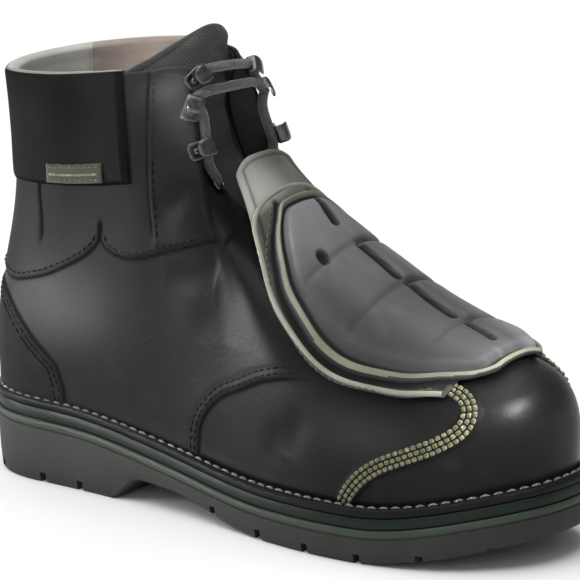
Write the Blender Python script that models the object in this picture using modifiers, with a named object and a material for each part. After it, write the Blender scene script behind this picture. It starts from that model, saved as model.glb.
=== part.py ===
"""Lace-up leather safety boot, right foot, with an outside guard over the instep.

Frame: metres, +Z up, +X to the toe, +Y to the medial side, origin on the floor under the middle
of the sole. The tables and sizes below are in millimetres, measured from the back of the heel
(x), the heel's centre line (y) and the floor (z).
"""
from math import cos, pi, sin

import bmesh
import bpy
import numpy as np
from mathutils import Matrix, Vector

MM = 0.001

# ---------------------------------------------------------------- named sizes, mm
LENGTH = 312.0                           # outsole, heel to toe
HEEL_W = 38.0                            # half widths of the outsole
WAIST_LAT, WAIST_MED, WAIST_X = 42.0, 36.5, 118.0
BALL_LAT, BALL_MED, BALL_X = 55.0, 51.0, 224.0
HEEL_ROUND, TOE_ROUND_LAT, TOE_ROUND_MED = 42.0, 88.0, 70.0
TOE_IN = 5.0                             # how far the toe swings to the medial side
EDGE_HEEL, EDGE_BALL = 29.5, 15.4        # height of the outsole's top edge
TOE_SPRING, ARCH = 12.8, 11.6
HEEL_BREAST, ARCH_FRONT = 84.0, 102.0    # where the heel block ends and the arch begins
GAP = 0.3                                # between pieces that touch
MID_T, WELT_T, INSOLE_T = 4.9, 4.0, 4.5
LEDGE_HEEL, LEDGE_FORE = 3.0, 6.5        # from the sole's edge in to the upper
WALL = 2.6                               # leather with its lining
SLOT_W, SLOT_DEEP, CHANNEL_W = 3.4, 4.5, 7.0

MID_LO = GAP
MID_HI = MID_LO + MID_T
WELT_LO = MID_HI + GAP
WELT_HI = WELT_LO + WELT_T

# the topline: collar from the back to the front corner, then the throat edge down to its end
TOPLINE = [
    # place        x      half   z
    ("back",        12.0,  0.0, 183.0),
    ("back side",   23.0, 26.0, 184.5),
    ("side",        60.0, 40.0, 190.0),
    ("fore side",   97.0, 34.0, 195.0),
    ("corner",     122.5, 15.5, 196.5),
    ("hook high",  119.0, 12.5, 181.0),
    ("hook low",   123.0, 12.5, 162.0),
    ("bend",       135.0, 12.5, 144.0),
    ("eyelets",    159.0, 12.0, 128.0),
    ("low",        183.0,  8.5, 115.0),
    ("throat",     193.0,  0.0, 111.0),
]

# one profile of the upper for each place round the foot, from the welt to the topline
PROFILE = [
    # place     foot  top   rise lean  reach fore  out   up
    ("heel",    0.00, 0.000, 52, .10,  62,  .24,  .00, -1.00),
    ("counter", 0.09, 0.120, 50, .08,  60,  .10, -.12, -1.00),
    ("ankle",   0.23, 0.270, 48, .10,  58,  .05, -.14, -1.00),
    ("waist",   0.38, 0.420, 44, .08,  46,  .12,  .10, -1.00),
    ("instep",  0.53, 0.535, 38, .07,  30,  .24,  .46,  -.84),
    ("ball",    0.68, 0.680, 37, .10,  25,  .50,  .55,  -.70),
    ("joint",   0.80, 0.810, 44, .14,  36,  .62,  .48,  -.74),
    ("cap",     0.91, 0.910, 66, .18,  76,  .74,  .30,  -.72),
    ("toe",     1.00, 1.000, 75, .14,  86,  .90,  .00,  -.48),
]

# sheets over the instep: a row for each section along the ridge
GUARD = [
    # place     x      z     lat   med   drop  power
    ("tab",   146.0, 162.0, 12.5, 22.0,  3.4, 2.0),
    ("neck",  153.0, 154.0, 15.8, 24.5,  5.6, 2.0),
    ("upper", 171.0, 142.0, 25.8, 31.0, 13.0, 2.0),
    ("mid",   200.0, 125.0, 40.1, 41.5, 26.1, 2.1),
    ("low",   228.0, 111.0, 46.5, 46.0, 29.8, 2.2),
    ("fore",  254.0, 101.0, 44.2, 43.5, 22.1, 2.3),
    ("front", 272.0,  97.0, 39.7, 38.0, 16.2, 2.3),
    ("nose",  289.0,  91.8, 31.0, 28.0, 12.3, 2.2),
]
FLAP_LOW, FLAP_T, FLAP_END = 3.7, 1.8, 0.935   # depth under the pad's top, thickness, share of the ridge
PAD_SHARE = [
    # along, share of the flap's half width
    (0.150, 0.45), (0.190, 0.62), (0.227, 0.76), (0.265, 0.83), (0.315, 0.87), (0.363, 0.90), (0.442, 0.92),
    (0.563, 0.94), (0.650, 0.94), (0.750, 0.93), (0.825, 0.90), (0.905, 0.85), (0.958, 0.77), (1.000, 0.56),
]
TONGUE = [
    # place     x      z     lat   med   drop  power
    ("foot",  190.0, 107.0, 13.0, 13.0,  4.0, 2.0),
    ("low",   172.0, 116.5, 20.0, 20.0,  8.0, 2.0),
    ("mid",   152.0, 130.0, 24.0, 24.0, 11.0, 2.0),
    ("bend",  134.0, 143.5, 26.0, 26.0, 14.0, 2.0),
    ("shin",  121.3, 162.0, 28.0, 28.0, 20.0, 2.0),
    ("upper", 117.5, 181.3, 30.0, 30.0, 26.0, 2.2),
    ("top",   119.0, 199.0, 32.0, 32.0, 28.0, 2.4),
    ("edge",  121.0, 214.0, 31.0, 31.0, 27.0, 2.4),
]
TONGUE_T = 5.0
TONGUE_ROUND = 0.19                      # how much the tongue's top corners are rounded off

# lace hooks and eyelets on the upper: share round the foot, share up the profile
FITTINGS = [
    # place      u      v on the lateral, the medial side
    ("low",    0.517, 0.755, 0.735),
    ("middle", 0.506, 0.858, 0.836),
    ("top",    0.512, 0.964, 0.926),
    ("eyelet", 0.700, 0.930, 0.930),
]
HOOK_LONG, HOOK_WIDE, HOOK_HIGH, HOOK_T = 8.0, 5.2, 4.9, 0.9
LACE_R = 1.4
COLLAR_U, COLLAR_LO, COLLAR_HI, COLLAR_T = 0.355, 0.705, 0.985, 2.6


# ---------------------------------------------------------------- curves
def smooth(xs, ys, x, level_ends=False):
    """Monotone cubic through the pairs xs, ys."""
    xs, ys, x = (np.asarray(a, float) for a in (xs, ys, x))
    step, n = np.diff(xs), len(xs)
    slope, m = np.diff(ys) / step, np.zeros(len(xs))
    for i in range(1, n - 1):
        if slope[i - 1] * slope[i] > 0:
            a, b = 2 * step[i] + step[i - 1], step[i] + 2 * step[i - 1]
            m[i] = (a + b) / (a / slope[i - 1] + b / slope[i])
    if not level_ends:
        m[0], m[-1] = slope[0], slope[-1]
    q = np.clip(x, xs[0], xs[-1])
    i = np.clip(np.searchsorted(xs, q, side="right") - 1, 0, n - 2)
    t = (q - xs[i]) / step[i]
    return ((2 * t**3 - 3 * t**2 + 1) * ys[i] + (t**3 - 2 * t**2 + t) * step[i] * m[i]
            + (-2 * t**3 + 3 * t**2) * ys[i + 1] + (t**3 - t**2) * step[i] * m[i + 1])


def curve_through(points, n):
    """Smooth curve through the points, evenly read n times."""
    p = np.asarray(points, float)
    s = np.r_[0, np.cumsum(np.sqrt(np.linalg.norm(np.diff(p, axis=0), axis=1)))]
    tan = np.zeros_like(p)
    for i in range(len(p)):
        if i in (0, len(p) - 1):
            j = max(i, 1)
            tan[i] = (p[j] - p[j - 1]) / (s[j] - s[j - 1])
        else:
            a, b = s[i] - s[i - 1], s[i + 1] - s[i]
            tan[i] = ((p[i] - p[i - 1]) / a * b + (p[i + 1] - p[i]) / b * a) / (a + b)
    q = np.linspace(0, s[-1], n)
    i = np.clip(np.searchsorted(s, q) - 1, 0, len(p) - 2)
    h = (s[i + 1] - s[i])[:, None]
    t = (q - s[i])[:, None] / h
    return ((2 * t**3 - 3 * t**2 + 1) * p[i] + (t**3 - 2 * t**2 + t) * h * tan[i]
            + (-2 * t**3 + 3 * t**2) * p[i + 1] + (t**3 - t**2) * h * tan[i + 1])


def at_shares(points, shares):
    """Points at shares of a line's length."""
    s = np.r_[0, np.cumsum(np.linalg.norm(np.diff(points[:, :3], axis=0), axis=1))]
    return np.stack([np.interp(shares, s / s[-1], points[:, k]) for k in range(points.shape[1])], -1)


# ---------------------------------------------------------------- the sole's own functions
def end_round(x, length, power, heel):
    r = (length - x) / length if heel else (x - LENGTH + length) / length
    return np.maximum(0, 1 - np.clip(r, 0, 1) ** power) ** (1 / power)


def outline(x):
    """Lateral and medial edge of the outsole."""
    places = [0, 45, WAIST_X, BALL_X, BALL_X + 40, LENGTH]
    lat = smooth(places, [HEEL_W, HEEL_W, WAIST_LAT, BALL_LAT, BALL_LAT - 0.5, BALL_LAT - 5], x)
    med = smooth(places, [HEEL_W, HEEL_W, WAIST_MED, BALL_MED, BALL_MED - 0.5, BALL_MED - 5], x)
    heel = end_round(x, HEEL_ROUND, 2.3, True)
    mid = TOE_IN * np.clip((x - 180) / (LENGTH - 180), 0, 1) ** 2
    return (mid - lat * heel * end_round(x, TOE_ROUND_LAT, 2.25, False),
            mid + med * heel * end_round(x, TOE_ROUND_MED, 2.4, False))


def edge_z(x):
    """Top edge of the outsole."""
    return smooth([0, 60, 185, 235, LENGTH],
                  [EDGE_HEEL + 0.6, EDGE_HEEL - 0.5, EDGE_BALL, EDGE_BALL + 0.4, EDGE_BALL + TOE_SPRING], x)


def bottom_z(x):
    """Underside: flat heel, breast, arch, flat forefoot, toe spring."""
    return smooth([0, HEEL_BREAST, ARCH_FRONT, 122, 166, 186, 232, 268, LENGTH],
                  [0, 0, ARCH, ARCH * 0.9, 1.6, 0, 0, TOE_SPRING * 0.33, TOE_SPRING + 1], x)


def edge_line(inset_heel, inset_fore, n=720):
    """The outline as a closed line, drawn in, with its outward direction and its place along the sole."""
    x = LENGTH * (1 - np.cos(np.linspace(0, pi, n + 1))) / 2
    lat, med = outline(x)
    line = np.concatenate([np.stack([x, lat], -1), np.stack([x, med], -1)[-2:0:-1]])
    place = np.concatenate([x, x[-2:0:-1]])
    along = np.roll(line, -1, 0) - np.roll(line, 1, 0)
    along /= np.linalg.norm(along, axis=1)[:, None]
    out = np.stack([along[:, 1], -along[:, 0]], -1)
    if ((line - line.mean(0)) * out).sum() < 0:
        out = -out
    inset = smooth([0, 60, 200, LENGTH], [inset_heel, inset_heel, inset_fore, inset_fore], line[:, 0])
    return line - out * inset[:, None], out, place


def stations():
    """Places along the sole where its sections are read."""
    heel = HEEL_ROUND * (1 - np.cos(np.linspace(0, pi / 2, 8)))
    toe = LENGTH - TOE_ROUND_LAT * (1 - np.sin(np.linspace(0, pi / 2, 11)))
    waist = [63, HEEL_BREAST, 90, 96, ARCH_FRONT, 110, 122, 137, 152, 166, 176, 186, 205]
    return np.concatenate([heel, waist, toe])


def ring(inset_heel, inset_fore, height):
    """Loop of points round the sole: heel, lateral side, toe, medial side."""
    line, _, place = edge_line(inset_heel, inset_fore)
    half, xs = len(line) // 2, stations()
    lat = np.stack([np.interp(xs, place[:half + 1], line[:half + 1, k]) for k in (0, 1)], -1)
    back = np.r_[0, np.arange(len(line) - 1, half - 1, -1)]
    med = np.stack([np.interp(xs, place[back], line[back, k]) for k in (0, 1)], -1)
    loop = np.concatenate([lat, med[-2:0:-1]])
    at = np.concatenate([xs, xs[-2:0:-1]])
    return np.c_[loop, height(at)]


# ---------------------------------------------------------------- the upper's own function
def ridge_y(x):
    """The instep's ridge lies a little to the medial side."""
    return 3.0 * np.clip((np.asarray(x, float) - 110) / 100, 0, 1)


def topline(side):
    rows = [(x, side * half + ridge_y(x), z) for _, x, half, z in TOPLINE]
    turned = lambda a, b: (b[0], 2 * a[1] - b[1], b[2])
    c = curve_through([turned(rows[0], rows[1])] + rows + [turned(rows[-1], rows[-2])], 1400)
    near = lambda p: int(np.argmin(np.linalg.norm(c - np.array(p), axis=1)))
    return c[near(rows[0]):near(rows[-1]) + 1]


def upper_half(side, u, v):
    """Outer face of the upper. u runs 0 at the heel to 1 at the toe, v 0 at the welt to 1 at the topline."""
    u, v = np.atleast_1d(np.asarray(u, float)), np.atleast_1d(np.asarray(v, float))
    line, out, _ = edge_line(LEDGE_HEEL, LEDGE_FORE)
    half = len(line) // 2
    k = np.arange(half + 1) if side < 0 else (-np.arange(half + 1)) % len(line)
    foot = at_shares(np.c_[line[k], edge_z(line[k, 0]) + WELT_HI, out[k]], u)
    col = lambda j: smooth([r[1] for r in PROFILE], [r[j] for r in PROFILE], u, j not in (2, 7))
    low, away = foot[:, :3], foot[:, 3:5] / np.linalg.norm(foot[:, 3:5], axis=1)[:, None]
    top = at_shares(topline(side), col(2))
    aim = np.stack([col(6), side * col(7), col(8)], -1)
    aim /= np.linalg.norm(aim, axis=1)[:, None]
    a = low + col(3)[:, None] * np.c_[away * col(4)[:, None], np.ones(len(u))]
    b = top + col(5)[:, None] * aim
    w = v[None, :, None]
    return ((1 - w)**3 * low[:, None] + 3 * w * (1 - w)**2 * a[:, None]
            + 3 * w * w * (1 - w) * b[:, None] + w**3 * top[:, None])


def upper_frame(side, u, v):
    """Point, outward normal, direction away from the throat and direction along it."""
    e = 0.004
    p = upper_half(side, u, v)[0, 0]
    du = upper_half(side, u + e, v)[0, 0] - upper_half(side, u - e, v)[0, 0]
    dv = upper_half(side, u, v + e)[0, 0] - upper_half(side, u, v - e)[0, 0]
    n = np.cross(du, dv) * (1 if side < 0 else -1)
    n /= np.linalg.norm(n)
    edge = topline(side)
    edge = edge[np.argmax(edge[:, 2]):]
    away = p - edge[np.argmin(np.linalg.norm(edge - p, axis=1))]
    away -= n * (away @ n)
    away /= np.linalg.norm(away)
    return p, n, away, np.cross(n, away)


def sheet_normals(p):
    n = np.cross(np.gradient(p, axis=0), np.gradient(p, axis=1))
    return n / np.linalg.norm(n, axis=2)[..., None]


def saddle(rows, s, q, lift):
    """Sheet over the instep. s (0..1) runs along the ridge, q (-1 lateral..1 medial) across it."""
    t = np.array([r[1:] for r in rows], float)
    knots = np.r_[0, np.cumsum(np.linalg.norm(np.diff(t[:, :2], axis=0), axis=1))]
    knots /= knots[-1]
    col = lambda j: smooth(knots, t[:, j], s)
    ridge = curve_through(t[:, :2], 400)
    sr = np.r_[0, np.cumsum(np.linalg.norm(np.diff(ridge, axis=0), axis=1))]
    sr /= sr[-1]
    x, z = np.interp(s, sr, ridge[:, 0]), np.interp(s, sr, ridge[:, 1])
    tx = np.interp(s, sr, np.gradient(ridge[:, 0], sr))
    tz = np.interp(s, sr, np.gradient(ridge[:, 1], sr))
    way = np.sign(ridge[-1, 0] - ridge[0, 0]) / np.hypot(tx, tz)
    nx, nz = -tz * way, tx * way
    half = np.where(q < 0, col(2), col(3))
    h = lift - col(4) * np.abs(q) ** col(5)
    return np.stack([x + nx * h, ridge_y(x) + half * q, z + nz * h], -1)


# ---------------------------------------------------------------- meshes
def shift(points):
    lat, med = outline(np.linspace(0, LENGTH, 800))
    return (np.asarray(points, float) - np.array([LENGTH / 2, (lat.min() + med.max()) / 2, 0])) * MM


def finish(name, bm, material, smooth_angle=35):
    bmesh.ops.recalc_face_normals(bm, faces=bm.faces)
    if all(e.is_manifold for e in bm.edges) and bm.calc_volume(signed=True) < 0:
        bmesh.ops.reverse_faces(bm, faces=bm.faces)
    mesh = bpy.data.meshes.new(name)
    bm.to_mesh(mesh)
    bm.free()
    mesh.shade_smooth()
    mesh.set_sharp_from_angle(angle=smooth_angle * pi / 180)
    mesh.materials.append(material)
    obj = bpy.data.objects.new(name, mesh)
    BOOT.objects.link(obj)
    return obj


def grid_faces(bm, grid, wrap=False):
    """Lay quads over a grid of points; returns the grid of vertices."""
    pts = shift(grid)
    rows = [[bm.verts.new(p) for p in row] for row in pts]
    n = len(rows)
    for i in range(n if wrap else n - 1):
        a, b = rows[i], rows[(i + 1) % n]
        for j in range(len(a) - 1):
            bm.faces.new((a[j], b[j], b[j + 1], a[j + 1]))
    return rows


def slab_between(name, outer, inner, material):
    """Closed piece between two sheets of the same grid."""
    bm = bmesh.new()
    a, b = grid_faces(bm, outer), grid_faces(bm, inner)
    n, m = len(a), len(a[0])
    rim = [(i, 0) for i in range(n)] + [(n - 1, j) for j in range(1, m)]
    rim += [(i, m - 1) for i in range(n - 2, -1, -1)] + [(0, j) for j in range(m - 2, 0, -1)]
    for k in range(len(rim)):
        (i, j), (p, q) = rim[k], rim[(k + 1) % len(rim)]
        bm.faces.new((a[i][j], a[p][q], b[p][q], b[i][j]))
    return finish(name, bm, material)


def stacked_slab(name, loops, material):
    """Closed slab from loops round the sole, floor and top laid as rungs from side to side."""
    bm = bmesh.new()
    rows = [[bm.verts.new(p) for p in shift(loop)] for loop in loops]
    n = len(rows[0])
    for lo, hi in zip(rows, rows[1:]):
        for i in range(n):
            bm.faces.new((lo[i], lo[(i + 1) % n], hi[(i + 1) % n], hi[i]))
    for loop in (rows[0], rows[-1]):
        half = n // 2
        bm.faces.new((loop[0], loop[1], loop[n - 1]))
        for i in range(1, half - 1):
            bm.faces.new((loop[i], loop[i + 1], loop[n - i - 1], loop[n - i]))
        bm.faces.new((loop[half - 1], loop[half], loop[half + 1]))
    return finish(name, bm, material)


def principled(name, colour, roughness, metallic=0.0):
    mat = bpy.data.materials.new(name)
    mat.use_nodes = True
    shader = mat.node_tree.nodes["Principled BSDF"]
    shader.inputs["Base Color"].default_value = (*colour, 1)
    shader.inputs["Roughness"].default_value = roughness
    shader.inputs["Metallic"].default_value = metallic
    return mat


def tube(name, points, radius, material):
    """Round cord through the points, as a closed mesh."""
    route = curve_through(points, max(6, 2 * len(points) + 1))
    data = bpy.data.curves.new(name + "_route", "CURVE")
    data.dimensions = "3D"
    data.bevel_depth, data.bevel_resolution, data.use_fill_caps = radius * MM, 2, True
    spline = data.splines.new("POLY")
    spline.points.add(len(route) - 1)
    for point, co in zip(spline.points, shift(route)):
        point.co = (*co, 1)
    curve = bpy.data.objects.new(name + "_route", data)
    CUTTERS.objects.link(curve)
    bpy.context.view_layer.update()
    mesh = bpy.data.meshes.new_from_object(curve.evaluated_get(bpy.context.evaluated_depsgraph_get()))
    bpy.data.objects.remove(curve, do_unlink=True)
    bm = bmesh.new()
    bm.from_mesh(mesh)
    bpy.data.meshes.remove(mesh)
    bmesh.ops.remove_doubles(bm, verts=bm.verts, dist=0.00001)
    return finish(name, bm, material)


# ---------------------------------------------------------------- scene
for old in list(bpy.data.objects):
    bpy.data.objects.remove(old, do_unlink=True)
BOOT = bpy.data.collections.new("Safety boot")
CUTTERS = bpy.data.collections.new("Cutters")
bpy.context.scene.collection.children.link(BOOT)
bpy.context.scene.collection.children.link(CUTTERS)

RUBBER = principled("Outsole rubber", (0.050, 0.055, 0.052), 0.62)
MIDRUBBER = principled("Midsole rubber", (0.016, 0.024, 0.020), 0.55)
WELTING = principled("Welt", (0.018, 0.020, 0.018), 0.55)
LEATHER = principled("Black leather", (0.018, 0.018, 0.019), 0.42)
PADDING = principled("Matt black collar", (0.014, 0.014, 0.015), 0.70)
LINING = principled("Footbed fabric", (0.120, 0.100, 0.085), 0.90)
TONGUING = principled("Tongue fabric", (0.016, 0.017, 0.016), 0.78)
FLAPPING = principled("Grey guard leather", (0.200, 0.200, 0.195), 0.45)
GUARDING = principled("Dark grey guard pad", (0.110, 0.110, 0.113), 0.50)
LACING = principled("Grey lace", (0.060, 0.060, 0.062), 0.80)
METAL = principled("Dark nickel", (0.220, 0.220, 0.230), 0.35, 1.0)

# ---- sole: outsole, midsole, welt, insole
above = lambda up: (lambda x: edge_z(x) + up)
waistline = lambda x: bottom_z(x) + 0.55 * (edge_z(x) - bottom_z(x))
outsole = stacked_slab("outsole", [
    ring(2.4, 2.4, bottom_z), ring(1.5, 1.5, lambda x: bottom_z(x) + 1.2),
    ring(0.3, 0.3, waistline), ring(0.0, 0.0, edge_z)], RUBBER)

cut = bmesh.new()


def slot(x, lat, slant):
    """Slot across one side of the sole, from the middle channel out past the edge."""
    far = -70.0 if lat else 70.0
    turn = Matrix.Rotation((slant if lat else -slant) * pi / 180, 4, "Z")
    size = Matrix.Diagonal((SLOT_W, abs(far), 2 * SLOT_DEEP, 1))
    move = Matrix.Translation((x, 0, float(bottom_z(np.array(x)))))
    box = bmesh.ops.create_cube(cut, size=1.0, matrix=move @ turn @ Matrix.Translation((0, far / 2, 0)) @ size)
    for vert in box["verts"]:
        vert.co = Vector(shift(vert.co))


for lat in (True, False):
    for x, slant in ((22, -14), (44, 0), (66, 0), (150, 0), (176, 4), (203, 6), (230, 8), (257, 12), (281, 24)):
        slot(x, lat, slant)
lug_cutter = bpy.data.objects.new("lug_slots", bpy.data.meshes.new("lug_slots"))
cut.to_mesh(lug_cutter.data)
cut.free()
CUTTERS.objects.link(lug_cutter)

xs = np.r_[np.linspace(140, 270, 12), 282]
mid_y = TOE_IN * np.clip((xs - 180) / (LENGTH - 180), 0, 1) ** 2
under = np.stack([np.stack([xs, mid_y + k * CHANNEL_W / 2, bottom_z(xs) - 3.0], -1) for k in (-1, 1)], 1)
over = under + np.array([0, 0, 3.0 + SLOT_DEEP])
channel_cutter = slab_between("channel", over, under, RUBBER)
BOOT.objects.unlink(channel_cutter)
CUTTERS.objects.link(channel_cutter)
for cutter in (lug_cutter, channel_cutter):
    cutter.hide_render = True
    cutter.display_type = "WIRE"
    mod = outsole.modifiers.new(cutter.name, "BOOLEAN")
    mod.operation, mod.object, mod.solver, mod.use_self = "DIFFERENCE", cutter, "EXACT", True

stacked_slab("midsole", [ring(0.9, 0.9, above(MID_LO)), ring(0.7, 0.7, above(MID_HI))], MIDRUBBER)

bm = bmesh.new()
loops = [ring(0.5, 0.5, above(WELT_LO)), ring(0.3, 0.3, above(WELT_HI - 1)), ring(0.9, 0.9, above(WELT_HI)),
         ring(LEDGE_HEEL - GAP, LEDGE_FORE - GAP, above(WELT_HI)),
         ring(LEDGE_HEEL - GAP, LEDGE_FORE - GAP, above(WELT_LO))]
grid_faces(bm, np.stack(loops + loops[:1], 1), wrap=True)
bmesh.ops.remove_doubles(bm, verts=bm.verts, dist=0.00001)
finish("welt", bm, WELTING)

inside = LEDGE_HEEL + WALL + 0.7, LEDGE_FORE + WALL + 0.7
stacked_slab("insole", [ring(*inside, above(WELT_LO)), ring(*inside, above(WELT_LO + INSOLE_T))], LINING)

# ---- upper: rings from the welt's foot to the topline, then a wall
u = np.linspace(0, 1, 35)
v = np.r_[0.0, 0.07, 0.15, 0.24, 0.33, 0.43, 0.53, 0.63, 0.73, 0.83, 0.92, 1.0]
lateral, medial = upper_half(-1, u, v), upper_half(1, u, v)
shell = np.concatenate([lateral, medial[-2:0:-1]])
skirt = shell[:, :1] - np.array([0, 0, WELT_T])
bm = bmesh.new()
grid_faces(bm, np.concatenate([skirt, shell], 1), wrap=True)
upper = finish("upper", bm, LEATHER)
wall = upper.modifiers.new("Wall", "SOLIDIFY")
wall.thickness, wall.offset, wall.use_even_offset, wall.use_rim = WALL * MM, -1, True, True
wall.thickness_clamp = 0.6

# ---- collar pad: cut between two larger forms of the upper, round the back of the ankle
cu = np.linspace(0, COLLAR_U, 15)
cv = np.linspace(COLLAR_LO, COLLAR_HI, 7)
band = np.concatenate([upper_half(-1, cu, cv)[::-1], upper_half(1, cu, cv)[1:]])
away = sheet_normals(band)
if (away[14, :, 0] > 0).all():
    away = -away
across = np.sin(pi * np.linspace(0, 1, len(cv))) ** 0.5
along = np.minimum(1, 6 * (0.5 - np.abs(np.linspace(-0.5, 0.5, len(band))))) ** 0.5
puff = 0.9 + (COLLAR_T - 0.9) * across[None, :] * along[:, None]
slab_between("collar_pad", band + away * (GAP + 0.25 + puff)[..., None], band + away * (GAP + 0.25), PADDING)

# ---- tongue
s, q = np.meshgrid(np.linspace(0, 1, 17), np.linspace(-1, 1, 13), indexing="ij")
s = s * (1 - TONGUE_ROUND * np.abs(q) ** 2)
edge = (1 - np.abs(q) ** 6) * np.minimum(1, 14 * (1 - s / (1 - TONGUE_ROUND * np.abs(q) ** 2)) + 0.35)
slab_between("tongue", saddle(TONGUE, s, q, 0.0), saddle(TONGUE, s, q, -1.6 - (TONGUE_T - 1.6) * edge), TONGUING)

# ---- guard: flap and pad
s, q = np.meshgrid(np.linspace(0, 1, 19), np.linspace(-1, 1, 15), indexing="ij")
s = 0.035 * np.abs(q) ** 4 + s * (FLAP_END - 0.035 * np.abs(q) ** 4)
slab_between("guard_flap", saddle(GUARD, s, q, -FLAP_LOW), saddle(GUARD, s, q, -FLAP_LOW - FLAP_T), FLAPPING)
s, q = np.meshgrid(np.linspace(PAD_SHARE[0][0], 1.0, 19), np.linspace(-1, 1, 13), indexing="ij")
q = q * smooth([r[0] for r in PAD_SHARE], [r[1] for r in PAD_SHARE], s)
reach = np.minimum(1, 9 * np.minimum(1 - np.abs(np.linspace(-1, 1, 13)), 1))[None, :] ** 0.5
ends = np.minimum(1, 9 * (0.5 - np.abs(np.linspace(-0.5, 0.5, 19))))[:, None] ** 0.5
crown = 1.4 * (1 - reach * ends)
slab_between("guard_pad", saddle(GUARD, s, q, -crown), saddle(GUARD, s, q, -FLAP_LOW + GAP + 0.4), GUARDING)

# ---- hooks, eyelets and laces
SIDES = (("lat", -1), ("med", 1))


def hook(name, side, u, v):
    """Bent plate: foot on the leather, stem on the throat's side, lip turned back over it."""
    p, n, away, along = upper_frame(side, u, v)
    half, t, top = HOOK_LONG / 2, HOOK_T, HOOK_HIGH
    profile = [(half, 0), (half, t), (t - half, t), (t - half, top - t), (half * 0.45, top - t),
               (half * 0.45, top), (-half, top), (-half, 0)]
    bm = bmesh.new()
    face = bm.faces.new([bm.verts.new((a, -HOOK_WIDE / 2, c)) for a, c in profile])
    push = bmesh.ops.extrude_face_region(bm, geom=[face])
    bmesh.ops.translate(bm, vec=(0, HOOK_WIDE, 0), verts=[g for g in push["geom"] if isinstance(g, bmesh.types.BMVert)])
    for vert in bm.verts:
        vert.co = Vector(shift(p + n * (0.8 + vert.co.z) + away * vert.co.x + along * vert.co.y))
    finish(name, bm, METAL)
    return p + n * 3.2 - away * (half + LACE_R + 0.6)


def eyelet(name, side, u, v):
    p, n, away, along = upper_frame(side, u, v)
    bpy.ops.mesh.primitive_torus_add(major_radius=3.1 * MM, minor_radius=1.0 * MM, major_segments=16, minor_segments=6)
    obj = bpy.context.object
    obj.name = obj.data.name = name
    for other in list(obj.users_collection):
        other.objects.unlink(obj)
    BOOT.objects.link(obj)
    obj.data.materials.append(METAL)
    obj.data.shade_smooth()
    frame = Matrix((Vector(away), Vector(along), Vector(n))).transposed().to_4x4()
    obj.matrix_world = Matrix.Translation(Vector(shift(p + n * 2.1))) @ frame
    return p + n * 3.6


ends = {}
for side_name, side in SIDES:
    for place, fu, v_lat, v_med in FITTINGS:
        fv = v_lat if side < 0 else v_med
        if place == "eyelet":
            ends[place, side] = eyelet(f"eyelet_{side_name}", side, fu, fv)
        else:
            ends[place, side] = hook(f"hook_{place}_{side_name}", side, fu, fv)

for k, (place, bulge) in enumerate((("middle", 3.4), ("top", 2.2))):
    a, b = ends[place, -1], ends[place, 1]
    over = a - ends["eyelet", -1] + b - ends["eyelet", 1]
    out = np.cross(b - a, over)
    out = out / np.linalg.norm(out) * (1 if out[0] > 0 else -1) if abs(out[0]) > 0 else np.array([1.0, 0, 0])
    route = [a + (b - a) * t + out * bulge * sin(pi * t) for t in np.linspace(0.02, 0.98, 5)]
    tube(f"lace_bar_{k + 1}", route, LACE_R, LACING)
for side_name, side in SIDES:
    a, b, c = (ends[place, side] for place in ("eyelet", "low", "middle"))
    route = [0.88 * a + 0.12 * b, 0.5 * (a + b), b, 0.55 * b + 0.45 * c, 0.22 * b + 0.78 * c]
    tube(f"lace_run_{side_name}", route, LACE_R, LACING)
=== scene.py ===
"""Looks of the safety boot: leather panels, padding, guard, laces, sole and studio."""
from math import cos, pi, radians, sin, sqrt

import bmesh
import bpy
import numpy as np
from mathutils import Matrix, Vector
from mathutils.kdtree import KDTree


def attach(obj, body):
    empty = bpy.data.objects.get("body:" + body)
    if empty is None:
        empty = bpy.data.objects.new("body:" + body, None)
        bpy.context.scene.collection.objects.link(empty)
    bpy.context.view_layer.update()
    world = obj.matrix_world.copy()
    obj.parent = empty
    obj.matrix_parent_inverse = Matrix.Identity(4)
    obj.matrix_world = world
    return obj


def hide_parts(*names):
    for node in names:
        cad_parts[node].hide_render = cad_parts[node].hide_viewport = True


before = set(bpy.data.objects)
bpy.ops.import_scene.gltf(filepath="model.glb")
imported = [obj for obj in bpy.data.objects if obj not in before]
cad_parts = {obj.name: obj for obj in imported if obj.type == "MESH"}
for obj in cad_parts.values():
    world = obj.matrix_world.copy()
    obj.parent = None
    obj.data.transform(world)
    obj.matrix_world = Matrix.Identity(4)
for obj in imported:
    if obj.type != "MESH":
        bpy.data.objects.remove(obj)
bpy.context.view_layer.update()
MM = 0.001
RNG = np.random.default_rng(7)

# ------------------------------------------------------------------ sizes, mm, as in the part's source
LENGTH = 312.0
HEEL_W = 38.0
WAIST_LAT, WAIST_MED, WAIST_X = 42.0, 36.5, 118.0
BALL_LAT, BALL_MED, BALL_X = 55.0, 51.0, 224.0
HEEL_ROUND, TOE_ROUND_LAT, TOE_ROUND_MED = 42.0, 88.0, 70.0
TOE_IN = 5.0
EDGE_HEEL, EDGE_BALL = 29.5, 15.4
TOE_SPRING, ARCH = 12.8, 11.6
HEEL_BREAST, ARCH_FRONT = 84.0, 102.0
GAP = 0.3
MID_T, WELT_T, INSOLE_T = 4.9, 4.0, 4.5
LEDGE_HEEL, LEDGE_FORE = 3.0, 6.5
WALL = 2.6
SLOT_W, SLOT_DEEP, CHANNEL_W = 3.4, 4.5, 7.0
MID_LO = GAP
MID_HI = MID_LO + MID_T
WELT_LO = MID_HI + GAP
WELT_HI = WELT_LO + WELT_T

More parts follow.
